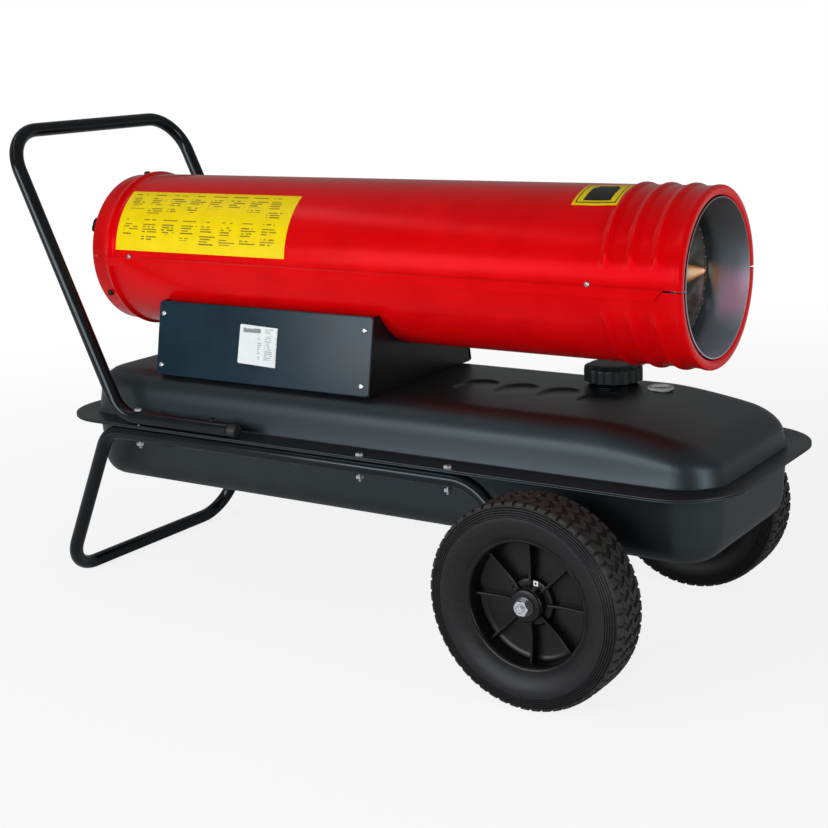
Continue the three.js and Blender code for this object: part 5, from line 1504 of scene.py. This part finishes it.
@dataclass
class Frame:
    """The bent tubes under the tank, their plugs and the bolts through both flanges."""

    radius: float = 10.0
    side: float = 179.0
    bolts: tuple[float, ...] = (-668.0, -530.0, -285.0, -151.0)
    short: float = -530.0
    eye_radius: float = 14.0
    eye_width: float = 20.0
    rail_z: float = 264.3  # the handle's rails, above the flange
    rail_top: float = 274.6
    flange_top: float = 254.3
    nut_low: float = 224.1
    thread_end: float = 220.1
    short_end: float = 250.0

    def build(self, finishes: Finishes) -> None:
        """Makes the stand, the handle, the plugs and the bolts."""
        self.axle().finish(finishes.zinc, "zinc", "axle")
        self.stand().finish(finishes.frame, "frame_paint", "stand_frame")
        self.handle().finish(finishes.frame, "frame_paint", "push_handle")
        for side, name in ((NEAR, "near"), (FAR, "far")):
            y = side * self.side
            plug = [(-499.7, 0), (-499.7, 9.3), (-489.5, 9.3), (-488, 8.8), (-486.9, 7.2)]
            plug += [(-486.7, 5), (-486.7, 0)]
            cap = Work.turned(f"tube_plug_{name}", plug, at(0, y, self.rail_z), X, 32)
            cap.finish(finishes.plastic, "black_plastic", f"handle_end_cap_{name}")
            for k, x in enumerate(self.bolts):
                paint = finishes.frame if x == self.short else finishes.bolt
                node = f"flange_bolt_{name}_{k + 1}"
                self.bolt(f"clamp_bolt_{name}_{k + 1}", x, y).finish(paint, "zinc", node)

    def axle(self) -> Work:
        """The axle: its core between the wheels, both journals, and the threads with their chamfered ends."""
        half = [(0, 8), (211.2, 8), (211.7, 7.5), (211.7, 6), (257.6, 6), (258, 5)]
        for k in range(13):
            half += [(258.6 + k, 4.98), (259.1 + k, 4.4)]
        half += [(271.4, 4.4), (272, 3.7), (272, 0)]
        profile = [(-h, r) for h, r in reversed(half[1:])] + half
        return Work.turned("axle_rod", profile, at(0, 0, HUB), Y, 28)

    def stand(self) -> Work:
        """From one axle eye along the near side, across the rear foot, and back to the other eye."""
        s = self.side
        path = [((0, -s, HUB), 0), ((-120, -s, 239.4), 60), ((-731, -s, 239.4), 40), ((-836, -s, 10), 55)]
        path += [((-836, s, 10), 55), ((-731, s, 239.4), 40), ((-120, s, 239.4), 60), ((0, s, HUB), 0)]
        tube = Work.tube("bent_stand", [(at(*point), bend) for point, bend in path], self.radius, 32)
        half, r = self.eye_width / 2, self.eye_radius
        ring = [(-half, 6.2), (-half, r - 1), (-half + 1, r), (half - 1, r), (half, r - 1)]
        ring += [(half, 6.2), (-half, 6.2)]
        return tube.join(*(Work.turned("eye", ring, at(0, side * s, HUB), Y, 36) for side in (NEAR, FAR)))

    def handle(self) -> Work:
        """Both rails and the crossbar behind the heater, with open ends round the plugs."""
        s = self.side
        path = [((-500, -s, self.rail_z), 0), ((-703, -s, self.rail_z), 48), ((-890, -s, 663.5), 60)]
        path += [((-890, s, 663.5), 60), ((-703, s, self.rail_z), 48), ((-500, s, self.rail_z), 0)]
        tube = Work.tube("bent_handle", [(at(*point), bend) for point, bend in path], self.radius, 32)
        for side in (NEAR, FAR):
            tool = Work.disc("bore", at(-513, side * s, self.rail_z), 9.4, X, 32).extrude(X * 0.02)
            tube.carve(tool.tidy())
        return tube

    def bolt(self, name: str, x: float, y: float) -> Work:
        """A hexagon bolt with its nut below and the end of its thread."""
        seat = self.rail_top if x <= self.short else self.flange_top
        outline = [(seat, 0), (seat, 5.4), (seat + 3, 5.4), (seat + 3.7, 4.6), (seat + 4, 3), (seat + 4, 0)]
        head = Work.turned(name, outline, at(x, y, 0), Z, 6)
        tail = self.short_end if x == self.short else self.thread_end
        shank = [(seat + 0.2, 0), (seat + 0.2, 3)]
        for k in range(9):
            h = tail + 9 - k
            shank += [(h, 3), (h - 0.5, 2.55)]
        shank += [(tail, 2.2), (tail, 0)]
        made = head.join(Work.turned("shank", shank, at(x, y, 0), Z, 16))
        if x != self.short:
            nut = [(0, 3), (0, 5.2), (0.5, 5.8), (4.5, 5.8), (5, 5.2), (5, 3)]
            made.join(Work.turned("nut", nut, at(x, y, self.nut_low), Z, 6))
        return made


# ---- wheels


@dataclass
class Wheel:
    """A wheel: the tyre with its moulded tread, the rim with its ribs, the bush, the washer and the nut."""

    side: int
    name: str
    radius: float = 127.0
    middle: float = 237.0
    shoulder_blocks: int = 54
    chevrons: int = 46
    rim_ribs: int = 8

    def build(self, finishes: Finishes) -> None:
        """Makes the pieces of one wheel."""
        body = f"wheel_{self.name}"
        self.tyre().finish(finishes.tyre, "tyre", f"tyre_{self.name}", body=body, angle=28)
        self.tread().finish(finishes.tread, "tyre", body=body, angle=25)
        self.rim().finish(finishes.rim, "black_plastic", f"rim_{self.name}", body=body, angle=35)
        self.fixings(finishes)

    def lathe(self, name: str, profile: Sequence[Point], sides: int) -> Work:
        """Turns a profile of heights above the wheel's middle plane, outwards, and radii."""
        return Work.turned(name, profile, at(0, self.side * self.middle, HUB), Y * self.side, sides, X)

    def tyre(self) -> Work:
        """The carcass: beads, bulged sidewalls with fine ridges and the bottom of the tread."""
        side = [(19.0, 79.2), (21.4, 79.6), (23.6, 81.6), (26.2, 85), (29.0, 89.5), (31.6, 95)]
        side += [(33.2, 100), (33.9, 104.5), (33.9, 107.5), (33.6, 109.0)]
        for k in range(5):
            r = 109.6 + 2.75 * k
            h = 33.5 - 0.62 * k - 0.07 * k * k
            side += [(h - 0.9, r), (h + 0.05, r + 0.5), (h - 0.1, r + 1.6), (h - 1.0, r + 2.1)]
        side += [(28.9, 123.2), (27.6, 124.0), (25, 124.4)]
        crown = [(18, 124.6), (9, 124.9), (0, 125.0)]
        half = side + crown
        inner = [(-21, 119), (-12, 80), (12, 80), (21, 119)]
        profile = [(h, r) for h, r in half] + [(-h, r) for h, r in reversed(half[:-1])]
        profile += [(-12, 79.2), *inner, (12, 79.2), (19.0, 79.2)]
        return self.lathe(f"tyre_carcass_{self.name}", profile, 144)

    def tread(self) -> Work:
        """The blocks: a shoulder row on each side and two rows of slanted bars that meet in a zigzag."""
        y = self.side * self.middle
        pitch = 2 * math.pi * self.radius / self.shoulder_blocks
        centre = at(0, y, HUB)
        blocks = []
        for way in (NEAR, FAR):
            low, high = at(-pitch * 0.36, y + 19.6, HUB + 122.5), at(pitch * 0.36, y + 29.2, HUB + 126.0)
            block = Work.block("block", low, high)
            block.pick(Part.EDGES, lambda p, n: p.z > 252 and p.y > y + 28)
            block.move(Vector((0, -0.0022, -0.0003)))
            block.pick(Part.POINTS, lambda p, n: p.z > 252 and p.y < y + 21).move(Vector((0, 0, 0.0005)))
            if way < 0:
                block.pick_all().scale((1, -1, 1), centre).tidy()
            block.pick(Part.FACES, lambda p, n: n.z > 0.5).inset(0.45, 0.2)
            blocks.append(self.ring(block, self.shoulder_blocks, centre, 0))
            for row, (start, end, slant) in enumerate(((0.7, 9.4, 6.4), (10.0, 18.6, -6.4))):
                bar = Work.block("bar", at(-4.4, y + start, HUB + 123), at(4.4, y + end, HUB + 126.6))
                shift = X * (slant / 2 * MM)
                bar.pick(Part.POINTS, lambda p, n: p.y > y + end - 0.5).move(shift)
                bar.pick(Part.POINTS, lambda p, n: p.y < y + start + 0.5).move(-shift)
                bar.pick(Part.POINTS, lambda p, n: p.y > y + end - 0.5 and p.z > 252)
                bar.move(Z * (-0.0001 * (1 + row)))
                bar.pick(Part.FACES, lambda p, n: n.z > 0.5).inset(0.5, 0.25)
                if way < 0:
                    bar.pick_all().scale((1, -1, 1), centre).tidy()
                blocks.append(self.ring(bar, self.chevrons, centre, 0.25 if way < 0 else 0))
        tread = blocks[0].join(*blocks[1:])
        tread.object.name = f"tread_blocks_{self.name}"
        return tread

    def ring(self, block: Work, count: int, centre: Vector, offset: float) -> Work:
        """Sets a block round the tyre."""
        block.pick_all()
        if offset:
            block.rotate(360 / count * offset, "Y", centre)
        return block.repeat(count, centre, Y)

    def rim(self) -> Work:
        """The dish with its lip, the stepped hub boss and the ribs between them."""
        outer = [(21.8, 81.2), (22.2, 80.2), (22.0, 78.6), (20.8, 76.6), (18.6, 75.4), (14, 74.8), (4, 74.4)]
        outer += [(-1, 73.4), (-3, 71), (-4, 67), (-4.4, 50), (-4, 32), (-2, 29.4), (2, 28.4)]
        outer += [(4.4, 27.6), (5, 26.4), (5.2, 21.6), (6, 20.6), (8, 20.2), (12, 19.8), (15.6, 19.9)]
        outer += [(16.6, 20.6), (17.4, 20.6), (18.6, 19.6), (20.4, 18.9), (21, 18), (21, 8.2)]
        back = [(-25, 8.2), (-25, 18), (-24, 19), (-9, 19.4), (-8, 24), (-8, 66), (-9, 72), (-15, 74.4)]
        back += [(-19, 75.4), (-20.8, 76.6), (-22, 78.6), (-22.2, 80.2), (-21.8, 81.2)]
        back += [(-19.3, 78.7), (19.3, 78.7), (21.8, 81.2)]
        dish = self.lathe(f"wheel_rim_{self.name}", outer + back, 128)
        centre = at(0, self.side * self.middle, HUB)
        y = self.side * self.middle
        low = Vector((-1.6, min(y - self.side * 6, y + self.side * 10), HUB + 18))
        high = Vector((1.6, max(y - self.side * 6, y + self.side * 10), HUB + 75))
        rib = Work.block("rib", at(*low), at(*high))
        for radius in (26, 34, 44, 54, 64, 70):
            rib.pick_all().cut(at(0, 0, HUB + radius), Z)
        rib.pick(Part.POINTS, lambda p, n: (p.y - y) * self.side > 5 and 143 < p.z < 200)
        crest = lambda p: 0.0 if (p.y - y) * self.side < 5 else self.sag(p.z - HUB)
        rib.push(-8.0 * self.side, "Y", crest)
        rib.soften(0.7, 2)
        rib.pick_all().repeat(self.rim_ribs, centre, Y)
        return dish.join(rib)

    @staticmethod
    def sag(radius: float) -> float:
        """How far the crest of a rib dips between the hub and the lip."""
        return ease(radius, 19, 40) * (1 - ease(radius, 46, 76)) * 0.3

    def fixings(self, finishes: Finishes) -> None:
        """The bush, the washer, the nut and the white square with its dot."""
        n, body = self.name, f"wheel_{self.name}"
        bush = [(21.2, 6.2), (21.2, 8.0), (-25.2, 8.0), (-25.2, 6.2), (21.2, 6.2)]
        self.lathe(f"hub_bush_{n}", bush, 32).finish(finishes.brass, "brass", f"wheel_bush_{n}", body=body)
        washer = [(21.4, 5.4), (21.4, 11.4), (21.8, 12), (22.8, 12), (23.2, 11.5), (23.2, 5.4), (21.4, 5.4)]
        self.lathe(f"hub_washer_{n}", washer, 40).finish(finishes.dull, "zinc", f"axle_washer_{n}")
        r = 17 / math.sqrt(3)
        nut = self.lathe(f"hub_nut_{n}", [(23.6, 5.1), (23.6, r), (31.4, r), (31.4, 5.1), (23.6, 5.1)], 6)
        cone = [(23.4, r - 1), (24.4, r + 0.2), (30.6, r + 0.2), (31.5, r - 1.2), (31.5, 0)]
        cone += [(23.4, 0), (23.4, r - 1)]
        nut.carve(self.lathe("cone", cone, 48), "INTERSECT")
        nut.finish(finishes.zinc, "zinc", f"axle_nut_{n}")
        self.white_square_and_dot(finishes)

    def white_square_and_dot(self, finishes: Finishes) -> None:
        """A small white square with a dark dot, set on the web beside the hub."""
        if self.side is FAR:
            return
        body, y = f"wheel_{self.name}", self.side * (self.middle + 5.1)
        spot = Work.block("hub_mark", at(3.2, y - 0.5, HUB + 20.4), at(9.6, y + 0.3, HUB + 26.8))
        spot.soften(0.1, 1)
        spot.finish(finishes.white, "black_plastic", body=body)
        dot = Work.disc("hub_mark_dot", at(6.4, y - 0.4, HUB + 23.6), 1.3, -Y, 16)
        dot.extrude(-Y * 0.0002).finish(finishes.plastic, "black_plastic", body=body)


# ---- control box


@dataclass
class ControlBox:
    """The sheet box between tube and tank, with its cover, its panel and what sits on them."""

    rear: float = -674.0
    front: float = -304.0
    low: float = 317.8
    high: float = 421.0
    half_low: float = 127.4
    half_high: float = 108.4
    sheet: float = 1.5
    saddle: float = 110.6
    cover_rear: float = -675.0
    cover_front: float = -303.0
    cover_top: float = 420.7
    screw_x: tuple[float, ...] = (-666.5, -315.0)
    screw_z: tuple[float, ...] = (403.4, 331.2)
    panel_y: float = 119.7
    panel_z: float = 369.4
    rocker_x: float = -560.0
    knob_x: float = -440.0
    dots: int = 11
    dots_radius: float = 24.0
    plate_x: float = -481.5
    plate_z: float = 370.2
    plate_half: Point = (43.5, 27.0)
    plate_turn: float = 2.0
    gland_y: float = 45.0
    gland_z: float = 345.0

    @property
    def lean(self) -> float:
        """How far the sides lean inwards, in degrees from upright."""
        return math.degrees(math.atan((self.half_low - self.half_high) / (self.high - self.low)))

    def normal(self, side: int) -> Vector:
        """The way that a side faces."""
        a = math.radians(self.lean)
        return Vector((0, side * math.cos(a), math.sin(a)))

    def face(self, side: int, x: float, z: float, proud: float = 0.0) -> Vector:
        """A point on a cover's outer face, or proud of it."""
        drop = (z - self.panel_z) * math.tan(math.radians(self.lean))
        return at(x, side * (self.panel_y - drop), z) + self.normal(side) * (proud * MM)

    def build(self, finishes: Finishes) -> None:
        """Makes every piece of the box."""
        self.shell().finish(finishes.shell, "box_paint", "control_box", weighted=True)
        # The covers take the teal box paint, whose teal is painted reflection.
        self.cover(NEAR, "cover_plate").finish(finishes.box, "box_paint", "side_cover", weighted=True)
        self.cover(FAR, "panel_plate").finish(finishes.box, "box_paint", "control_panel", weighted=True)
        heads = [(self.face(side, x, z, 0.1), self.normal(side))
                 for side in (NEAR, FAR) for x in self.screw_x for z in self.screw_z]
        Screw("cover_screws", 3.9, 2.3, 2.5).set(heads).finish(finishes.zinc, "zinc")
        self.plate().finish(finishes.plate, "box_paint")
        self.rocker(finishes)
        self.knob(finishes)
        self.gland(finishes)

    def shell(self) -> Work:
        """The box: four walls and a floor, with the saddle for the tube cut from its front and rear."""
        width = self.half_low
        box = Work.block("box_shell", at(self.rear, -width, self.low), at(self.front, width, self.high))
        shrink = (1, self.half_high / self.half_low, 1)
        box.pick(Part.FACES, lambda p, n: n.z > 0.9).scale(shrink, at(-489, 0, self.high))
        box.pick(Part.EDGES, lambda p, n: abs(n.x) < 0.1 and abs(n.z) > 0.9).bevel(3, 4)
        low = at(self.rear + self.sheet, -width + 3, self.low + self.sheet)
        high = at(self.front - self.sheet, width - 3, self.high + 3)
        hollow = Work.block("hollow", low, high)
        hollow.pick(Part.FACES, lambda p, n: n.z > 0.9).scale((1, 0.852, 1), at(-489, 0, self.high))
        box.carve(hollow)
        saddle = Work.disc("saddle", at(self.rear - 5, 0, Casing.axis_z), self.saddle, X, 96)
        saddle.extrude(X * (self.front - self.rear + 10) * MM)
        box.carve(saddle.tidy())
        return box.soften(0.35, 2, 50)

    def cover(self, side: int, name: str) -> Work:
        """A pressed plate that leans against a side of the box, with rounded corners and a rolled edge."""
        middle = self.face(side, (self.cover_rear + self.cover_front) / 2, (self.low + self.cover_top) / 2)
        half = (self.cover_top - self.low) / 2 / math.cos(math.radians(self.lean))
        reach = Vector(((self.cover_front - self.cover_rear) / 2, half, 0)) * MM
        plate = Work.panel(name, middle - reach, middle + reach)
        plate.pick_all().bevel(4.0, 5, corners=True).pick_all()
        plate.inset(0.35, 0.25)
        plate.inset(0.45, 0.12)
        plate.inset(0.6, 0)
        plate.pick_all().rotate(-side * (90 - self.lean), "X", middle)
        return plate.thicken(1.2)

    def plate(self) -> Work:
        """A small blank data plate on the near cover, set slightly askew."""
        middle = self.face(NEAR, self.plate_x, self.plate_z, 0.36)
        reach = Vector((*self.plate_half, 0)) * MM
        film = Work.panel("data_plate", middle - reach, middle + reach)
        film.rotate(90 - self.lean, "X", middle)
        film.rotate(self.plate_turn, "Y", middle)
        film.pick_all().bevel(2.0, 3, corners=True)
        return film.thicken(0.3, 0)

    def rocker(self, finishes: Finishes) -> None:
        """The rocker in its frame, which is tilted towards its off end."""
        lie = self.lie(FAR, self.face(FAR, self.rocker_x, self.panel_z))
        frame_piece = Work.block("bezel", Vector((-9, -18, 0.0)) * MM, Vector((9, 18, 1.6)) * MM)
        frame_piece.carve(Work.block("hole", Vector((-7.1, -14.4, -1)) * MM, Vector((7.1, 14.4, 3)) * MM))
        bezel = frame_piece.soften(0.5, 2).moved("rocker_bezel", lie)
        bezel.finish(finishes.plastic, "black_plastic")
        paddle = Work.block("paddle", Vector((-6.6, -13.8, -6.0)) * MM, Vector((6.6, 13.8, 2.4)) * MM)
        paddle.pick_all().cut(Vector((0, 0, 0)), Y)
        paddle.pick(Part.EDGES, lambda p, n: abs(p.y) < 0.5 and p.z > 2).move(Vector((0, 0, -0.0012)))
        paddle.soften(0.6, 2)
        paddle.pick_all().rotate(-6, "X", Vector((0, 0, -0.002)))
        rocker = paddle.moved("rocker_paddle", lie)
        rocker.finish(finishes.plastic, "black_plastic", "rocker_switch", body="switch")

    def lie(self, side: int, place: Vector) -> Matrix:
        """The placement of a fitting that was made lying down: its Y along the box, its Z outwards."""
        way = self.normal(side)
        across = X.cross(way)
        turn = Matrix((across, X, -way if across.cross(X).dot(way) < 0 else way)).transposed()
        return Matrix.Translation(place) @ turn.to_4x4()

    def knob(self, finishes: Finishes) -> None:
        """The thermostat's knob with a grip bar, and the printed scale of dots round it."""
        lie = self.lie(FAR, self.face(FAR, self.knob_x, self.panel_z))
        profile = [(0.3, 0), (0.3, 18), (1.5, 18), (2.2, 17.2), (9.5, 15.6), (11.2, 14.4)]
        profile += [(11.6, 12), (11.4, 0)]
        dial = Work.turned("dial", profile, Vector((0, 0, 0)), Z, 96)
        bar = Work.block("bar", Vector((-2.2, -14.5, 10)) * MM, Vector((2.2, 14.5, 15.4)) * MM)
        bar.pick(Part.FACES, lambda p, n: n.z > 0.9).scale((0.7, 0.93, 1), Vector((0, 0, 0.014)))
        bar.soften(0.8, 3)
        dial.join(bar)
        knob = dial.moved("thermostat_dial", lie)
        knob.finish(finishes.plastic, "black_plastic", "thermostat_knob", body="knob")
        dots = []
        for k in range(self.dots):
            a, r = math.radians(-135 + 270 / (self.dots - 1) * k), self.dots_radius
            place = Vector((r * math.cos(a), r * math.sin(a), 0.36)) * MM
            dots.append(Work.disc("dot", place, 0.8 + 0.12 * k, Z, 12).extrude(Z * 0.0001))
        marks = dots[0].join(*dots[1:]).moved("thermostat_scale", lie)
        marks.finish(finishes.white, "box_paint")

    def gland(self, finishes: Finishes) -> None:
        """The cord's gland in the rear wall, with its hexagon and its ribbed sleeve."""
        middle = at(0, self.gland_y, self.gland_z)
        collar = [(-679, 4.2), (-679, 11), (-675.6, 11), (-674.3, 10.4), (-674.3, 4.2), (-679, 4.2)]
        hexagon = Work.turned("gland_hexagon", collar, middle, X, 6)
        sleeve = [(-692.2, 4.2), (-692.2, 6.5)]
        for k in range(4):
            x, r = -691 + 3 * k, 7 + 0.7 * k
            sleeve += [(x, r), (x + 1.8, r + 0.4), (x + 1.9, r - 0.4), (x + 2.9, r - 0.2)]
        sleeve += [(-678, 9.8), (-672.5, 8), (-672.5, 4.2), (-692.2, 4.2)]
        gland = Work.turned("cord_gland", sleeve, middle, X, 32).join(hexagon)
        gland.finish(finishes.plastic, "black_plastic", "cable_gland")


# ---- kept nodes


KEPT = {
    "cap_seal": "cork", "filler_strainer": "steel", "gauge_needle": "plastic", "gauge_float": "cork",
    "suction_pipe": "brass", "burner_head": "steel", "fuel_nozzle": "brass", "spark_electrodes": "ceramic",
    "flame_sensor": "steel", "motor_rotor": "steel", "motor_bracket": "galvanised", "pump_rotor": "steel",
    "fuel_hose": "rubber", "air_hose": "rubber", "ignition_transformer": "plastic", "control_board": "board",
}


def dress_kept(finishes: Finishes) -> None:
    """Gives every node whose CAD mesh stays its own finish."""
    for name, finish in KEPT.items():
        node = bpy.data.objects.get(name)
        if node is None or node.type != "MESH":
            log.warning("%s is not in the frame", name)
            continue
        material = getattr(finishes, finish)
        for slot in node.material_slots:
            slot.material = material
        if not node.material_slots:
            node.data.materials.append(material)


# ---- studio


@dataclass
class Studio:
    """The pale floor, the white surround, the soft lamps and the camera at the photograph's angle."""

    camera_place: tuple[float, float, float] = (855.7, -1728.6, 773.3)
    yaw: float = 33.8
    pitch: float = 12.0
    roll: float = -2.2
    pixels: float = 828.0
    focal: float = 1552.1
    centre: Point = (423.0, 368.7)
    sensor: float = 36.0
    floor_white: float = 0.84
    mirrored: float = 0.15
    world_soft: float = 0.17
    floor_mirrored: float = 0.55
    floor_fade: Point = (900.0, 2600.0)
    lamps: tuple[tuple, ...] = (  # name, place, target, width, height, power
        ("key_lamp", (-750, -2300, 850), (-250, 0, 420), 2.3, 0.7, 42),
        ("strip_lamp", (-1450, -950, 2150), (-350, -150, 300), 2.2, 0.3, 4),
        ("front_lamp", (2100, -500, 750), (0, 0, 420), 0.9, 1.1, 20),
    )
    lamp_colour: Colour = (0.95, 0.98, 1.0)

    def build(self) -> None:
        """Sets the whole stage."""
        bpy.context.scene.view_settings.view_transform = "Standard"
        self.camera()
        self.floor()
        self.world()
        for lamp in self.lamps:
            self.hang(*lamp)

    def camera(self) -> None:
        """Places the camera from its yaw, pitch and roll."""
        a, e, r = (math.radians(v) for v in (self.yaw, self.pitch, self.roll))
        back = Vector((math.sin(a) * math.cos(e), -math.cos(a) * math.cos(e), math.sin(e)))
        right = Vector((math.cos(a), math.sin(a), 0))
        up = back.cross(right)
        right, up = right * math.cos(r) + up * math.sin(r), up * math.cos(r) - right * math.sin(r)
        data = bpy.data.cameras.new("camera")
        data.sensor_width = self.sensor
        data.lens = self.focal / self.pixels * self.sensor
        data.shift_x = (self.pixels / 2 - self.centre[0]) / self.pixels
        data.shift_y = (self.centre[1] - self.pixels / 2) / self.pixels
        data.clip_end = 50
        camera = bpy.data.objects.new("camera", data)
        turn = Matrix((right, up, back)).transposed().to_4x4()
        camera.matrix_world = Matrix.Translation(at(*self.camera_place)) @ turn
        bpy.context.scene.collection.objects.link(camera)
        bpy.context.scene.camera = camera

    def floor(self) -> None:
        """A wide pale floor that keeps the object's shadow and is white to the camera elsewhere."""
        Work.clear()
        bpy.ops.mesh.primitive_plane_add(size=60, location=at(-300, 0, 0))
        floor = bpy.context.object
        floor.name = "floor"
        net = Net("floor")
        grain = net.noise(900, 2)
        tone = net.mix(grain.between(0.35, 0.65), (0.90, 0.90, 0.90), (0.93, 0.93, 0.93))
        material = net.dress(Base_Color=tone, Roughness=0.9)
        x, y, _ = net.axes()
        away = (x * x + y * y).math("SQRT").between(*self.floor_fade)
        seen = net.node("ShaderNodeLightPath", output="Is Camera Ray")
        glossy = net.node("ShaderNodeLightPath", output="Is Glossy Ray")
        white = (away * (1 - self.floor_white) + self.floor_white) * seen
        share = white.math("MAXIMUM", away * glossy * self.floor_mirrored)
        lit = Value(net, net.shader.outputs[0])
        glow = net.node("ShaderNodeEmission", {}, {"Strength": 1})
        mixed = net.node("ShaderNodeMixShader", {}, {0: share, 1: lit, 2: glow})
        net.feed(net.tree.nodes["Material Output"].inputs["Surface"], mixed)
        floor.data.materials.append(material)

    def world(self) -> None:
        """White behind the object and in what it mirrors, and a plainer light elsewhere."""
        world = bpy.data.worlds.new("surround")
        bpy.context.scene.world = world
        world.use_nodes = True
        world.node_tree.nodes.clear()
        net = Net.around(world.node_tree)
        rays = ("Is Camera Ray", "Is Transmission Ray", "Is Glossy Ray")
        seen, through, glossy = (net.node("ShaderNodeLightPath", output=ray) for ray in rays)
        share = seen.math("MAXIMUM", through).math("MAXIMUM", glossy * self.mirrored)
        soft, white = (
            net.node("ShaderNodeBackground", {}, {"Color": (1, 1, 1), "Strength": strength})
            for strength in (self.world_soft, 1)
        )
        mixed = net.node("ShaderNodeMixShader", {}, {0: share, 1: soft, 2: white})
        out = world.node_tree.nodes.new("ShaderNodeOutputWorld")
        net.feed(out.inputs["Surface"], mixed)

    def hang(
        self,
        name: str,
        place: tuple[float, float, float],
        target: tuple[float, float, float],
        width: float,
        height: float,
        power: float,
    ) -> None:
        """Hangs a soft rectangular lamp.

        Args:
            name: Its name.
            place: Where it hangs, in millimetres.
            target: What it points at.
            width: Its width in metres.
            height: Its height in metres.
            power: Its power in watts.
        """
        data = bpy.data.lights.new(name, "AREA")
        data.shape = "RECTANGLE"
        data.size, data.size_y = width, height
        data.energy = power
        data.color = self.lamp_colour
        lamp = bpy.data.objects.new(name, data)
        way = at(*target) - at(*place)
        lamp.matrix_world = Matrix.Translation(at(*place)) @ way.to_track_quat("-Z", "Y").to_matrix().to_4x4()
        bpy.context.scene.collection.objects.link(lamp)


def main() -> None:
    """Builds the heater in the order in which it goes together, then the studio."""
    logging.basicConfig(level=logging.INFO, format="%(message)s")
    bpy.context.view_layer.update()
    finishes = Finishes()
    Tank().build(finishes)
    Frame().build(finishes)
    for side, name in ((NEAR, "near"), (FAR, "far")):
        Wheel(side, name).build(finishes)
    Casing().build(finishes)
    Chamber().build(finishes)
    Intake().build(finishes)
    ControlBox().build(finishes)
    dress_kept(finishes)
    Studio().build()


if __name__ == "__main__":
    main()
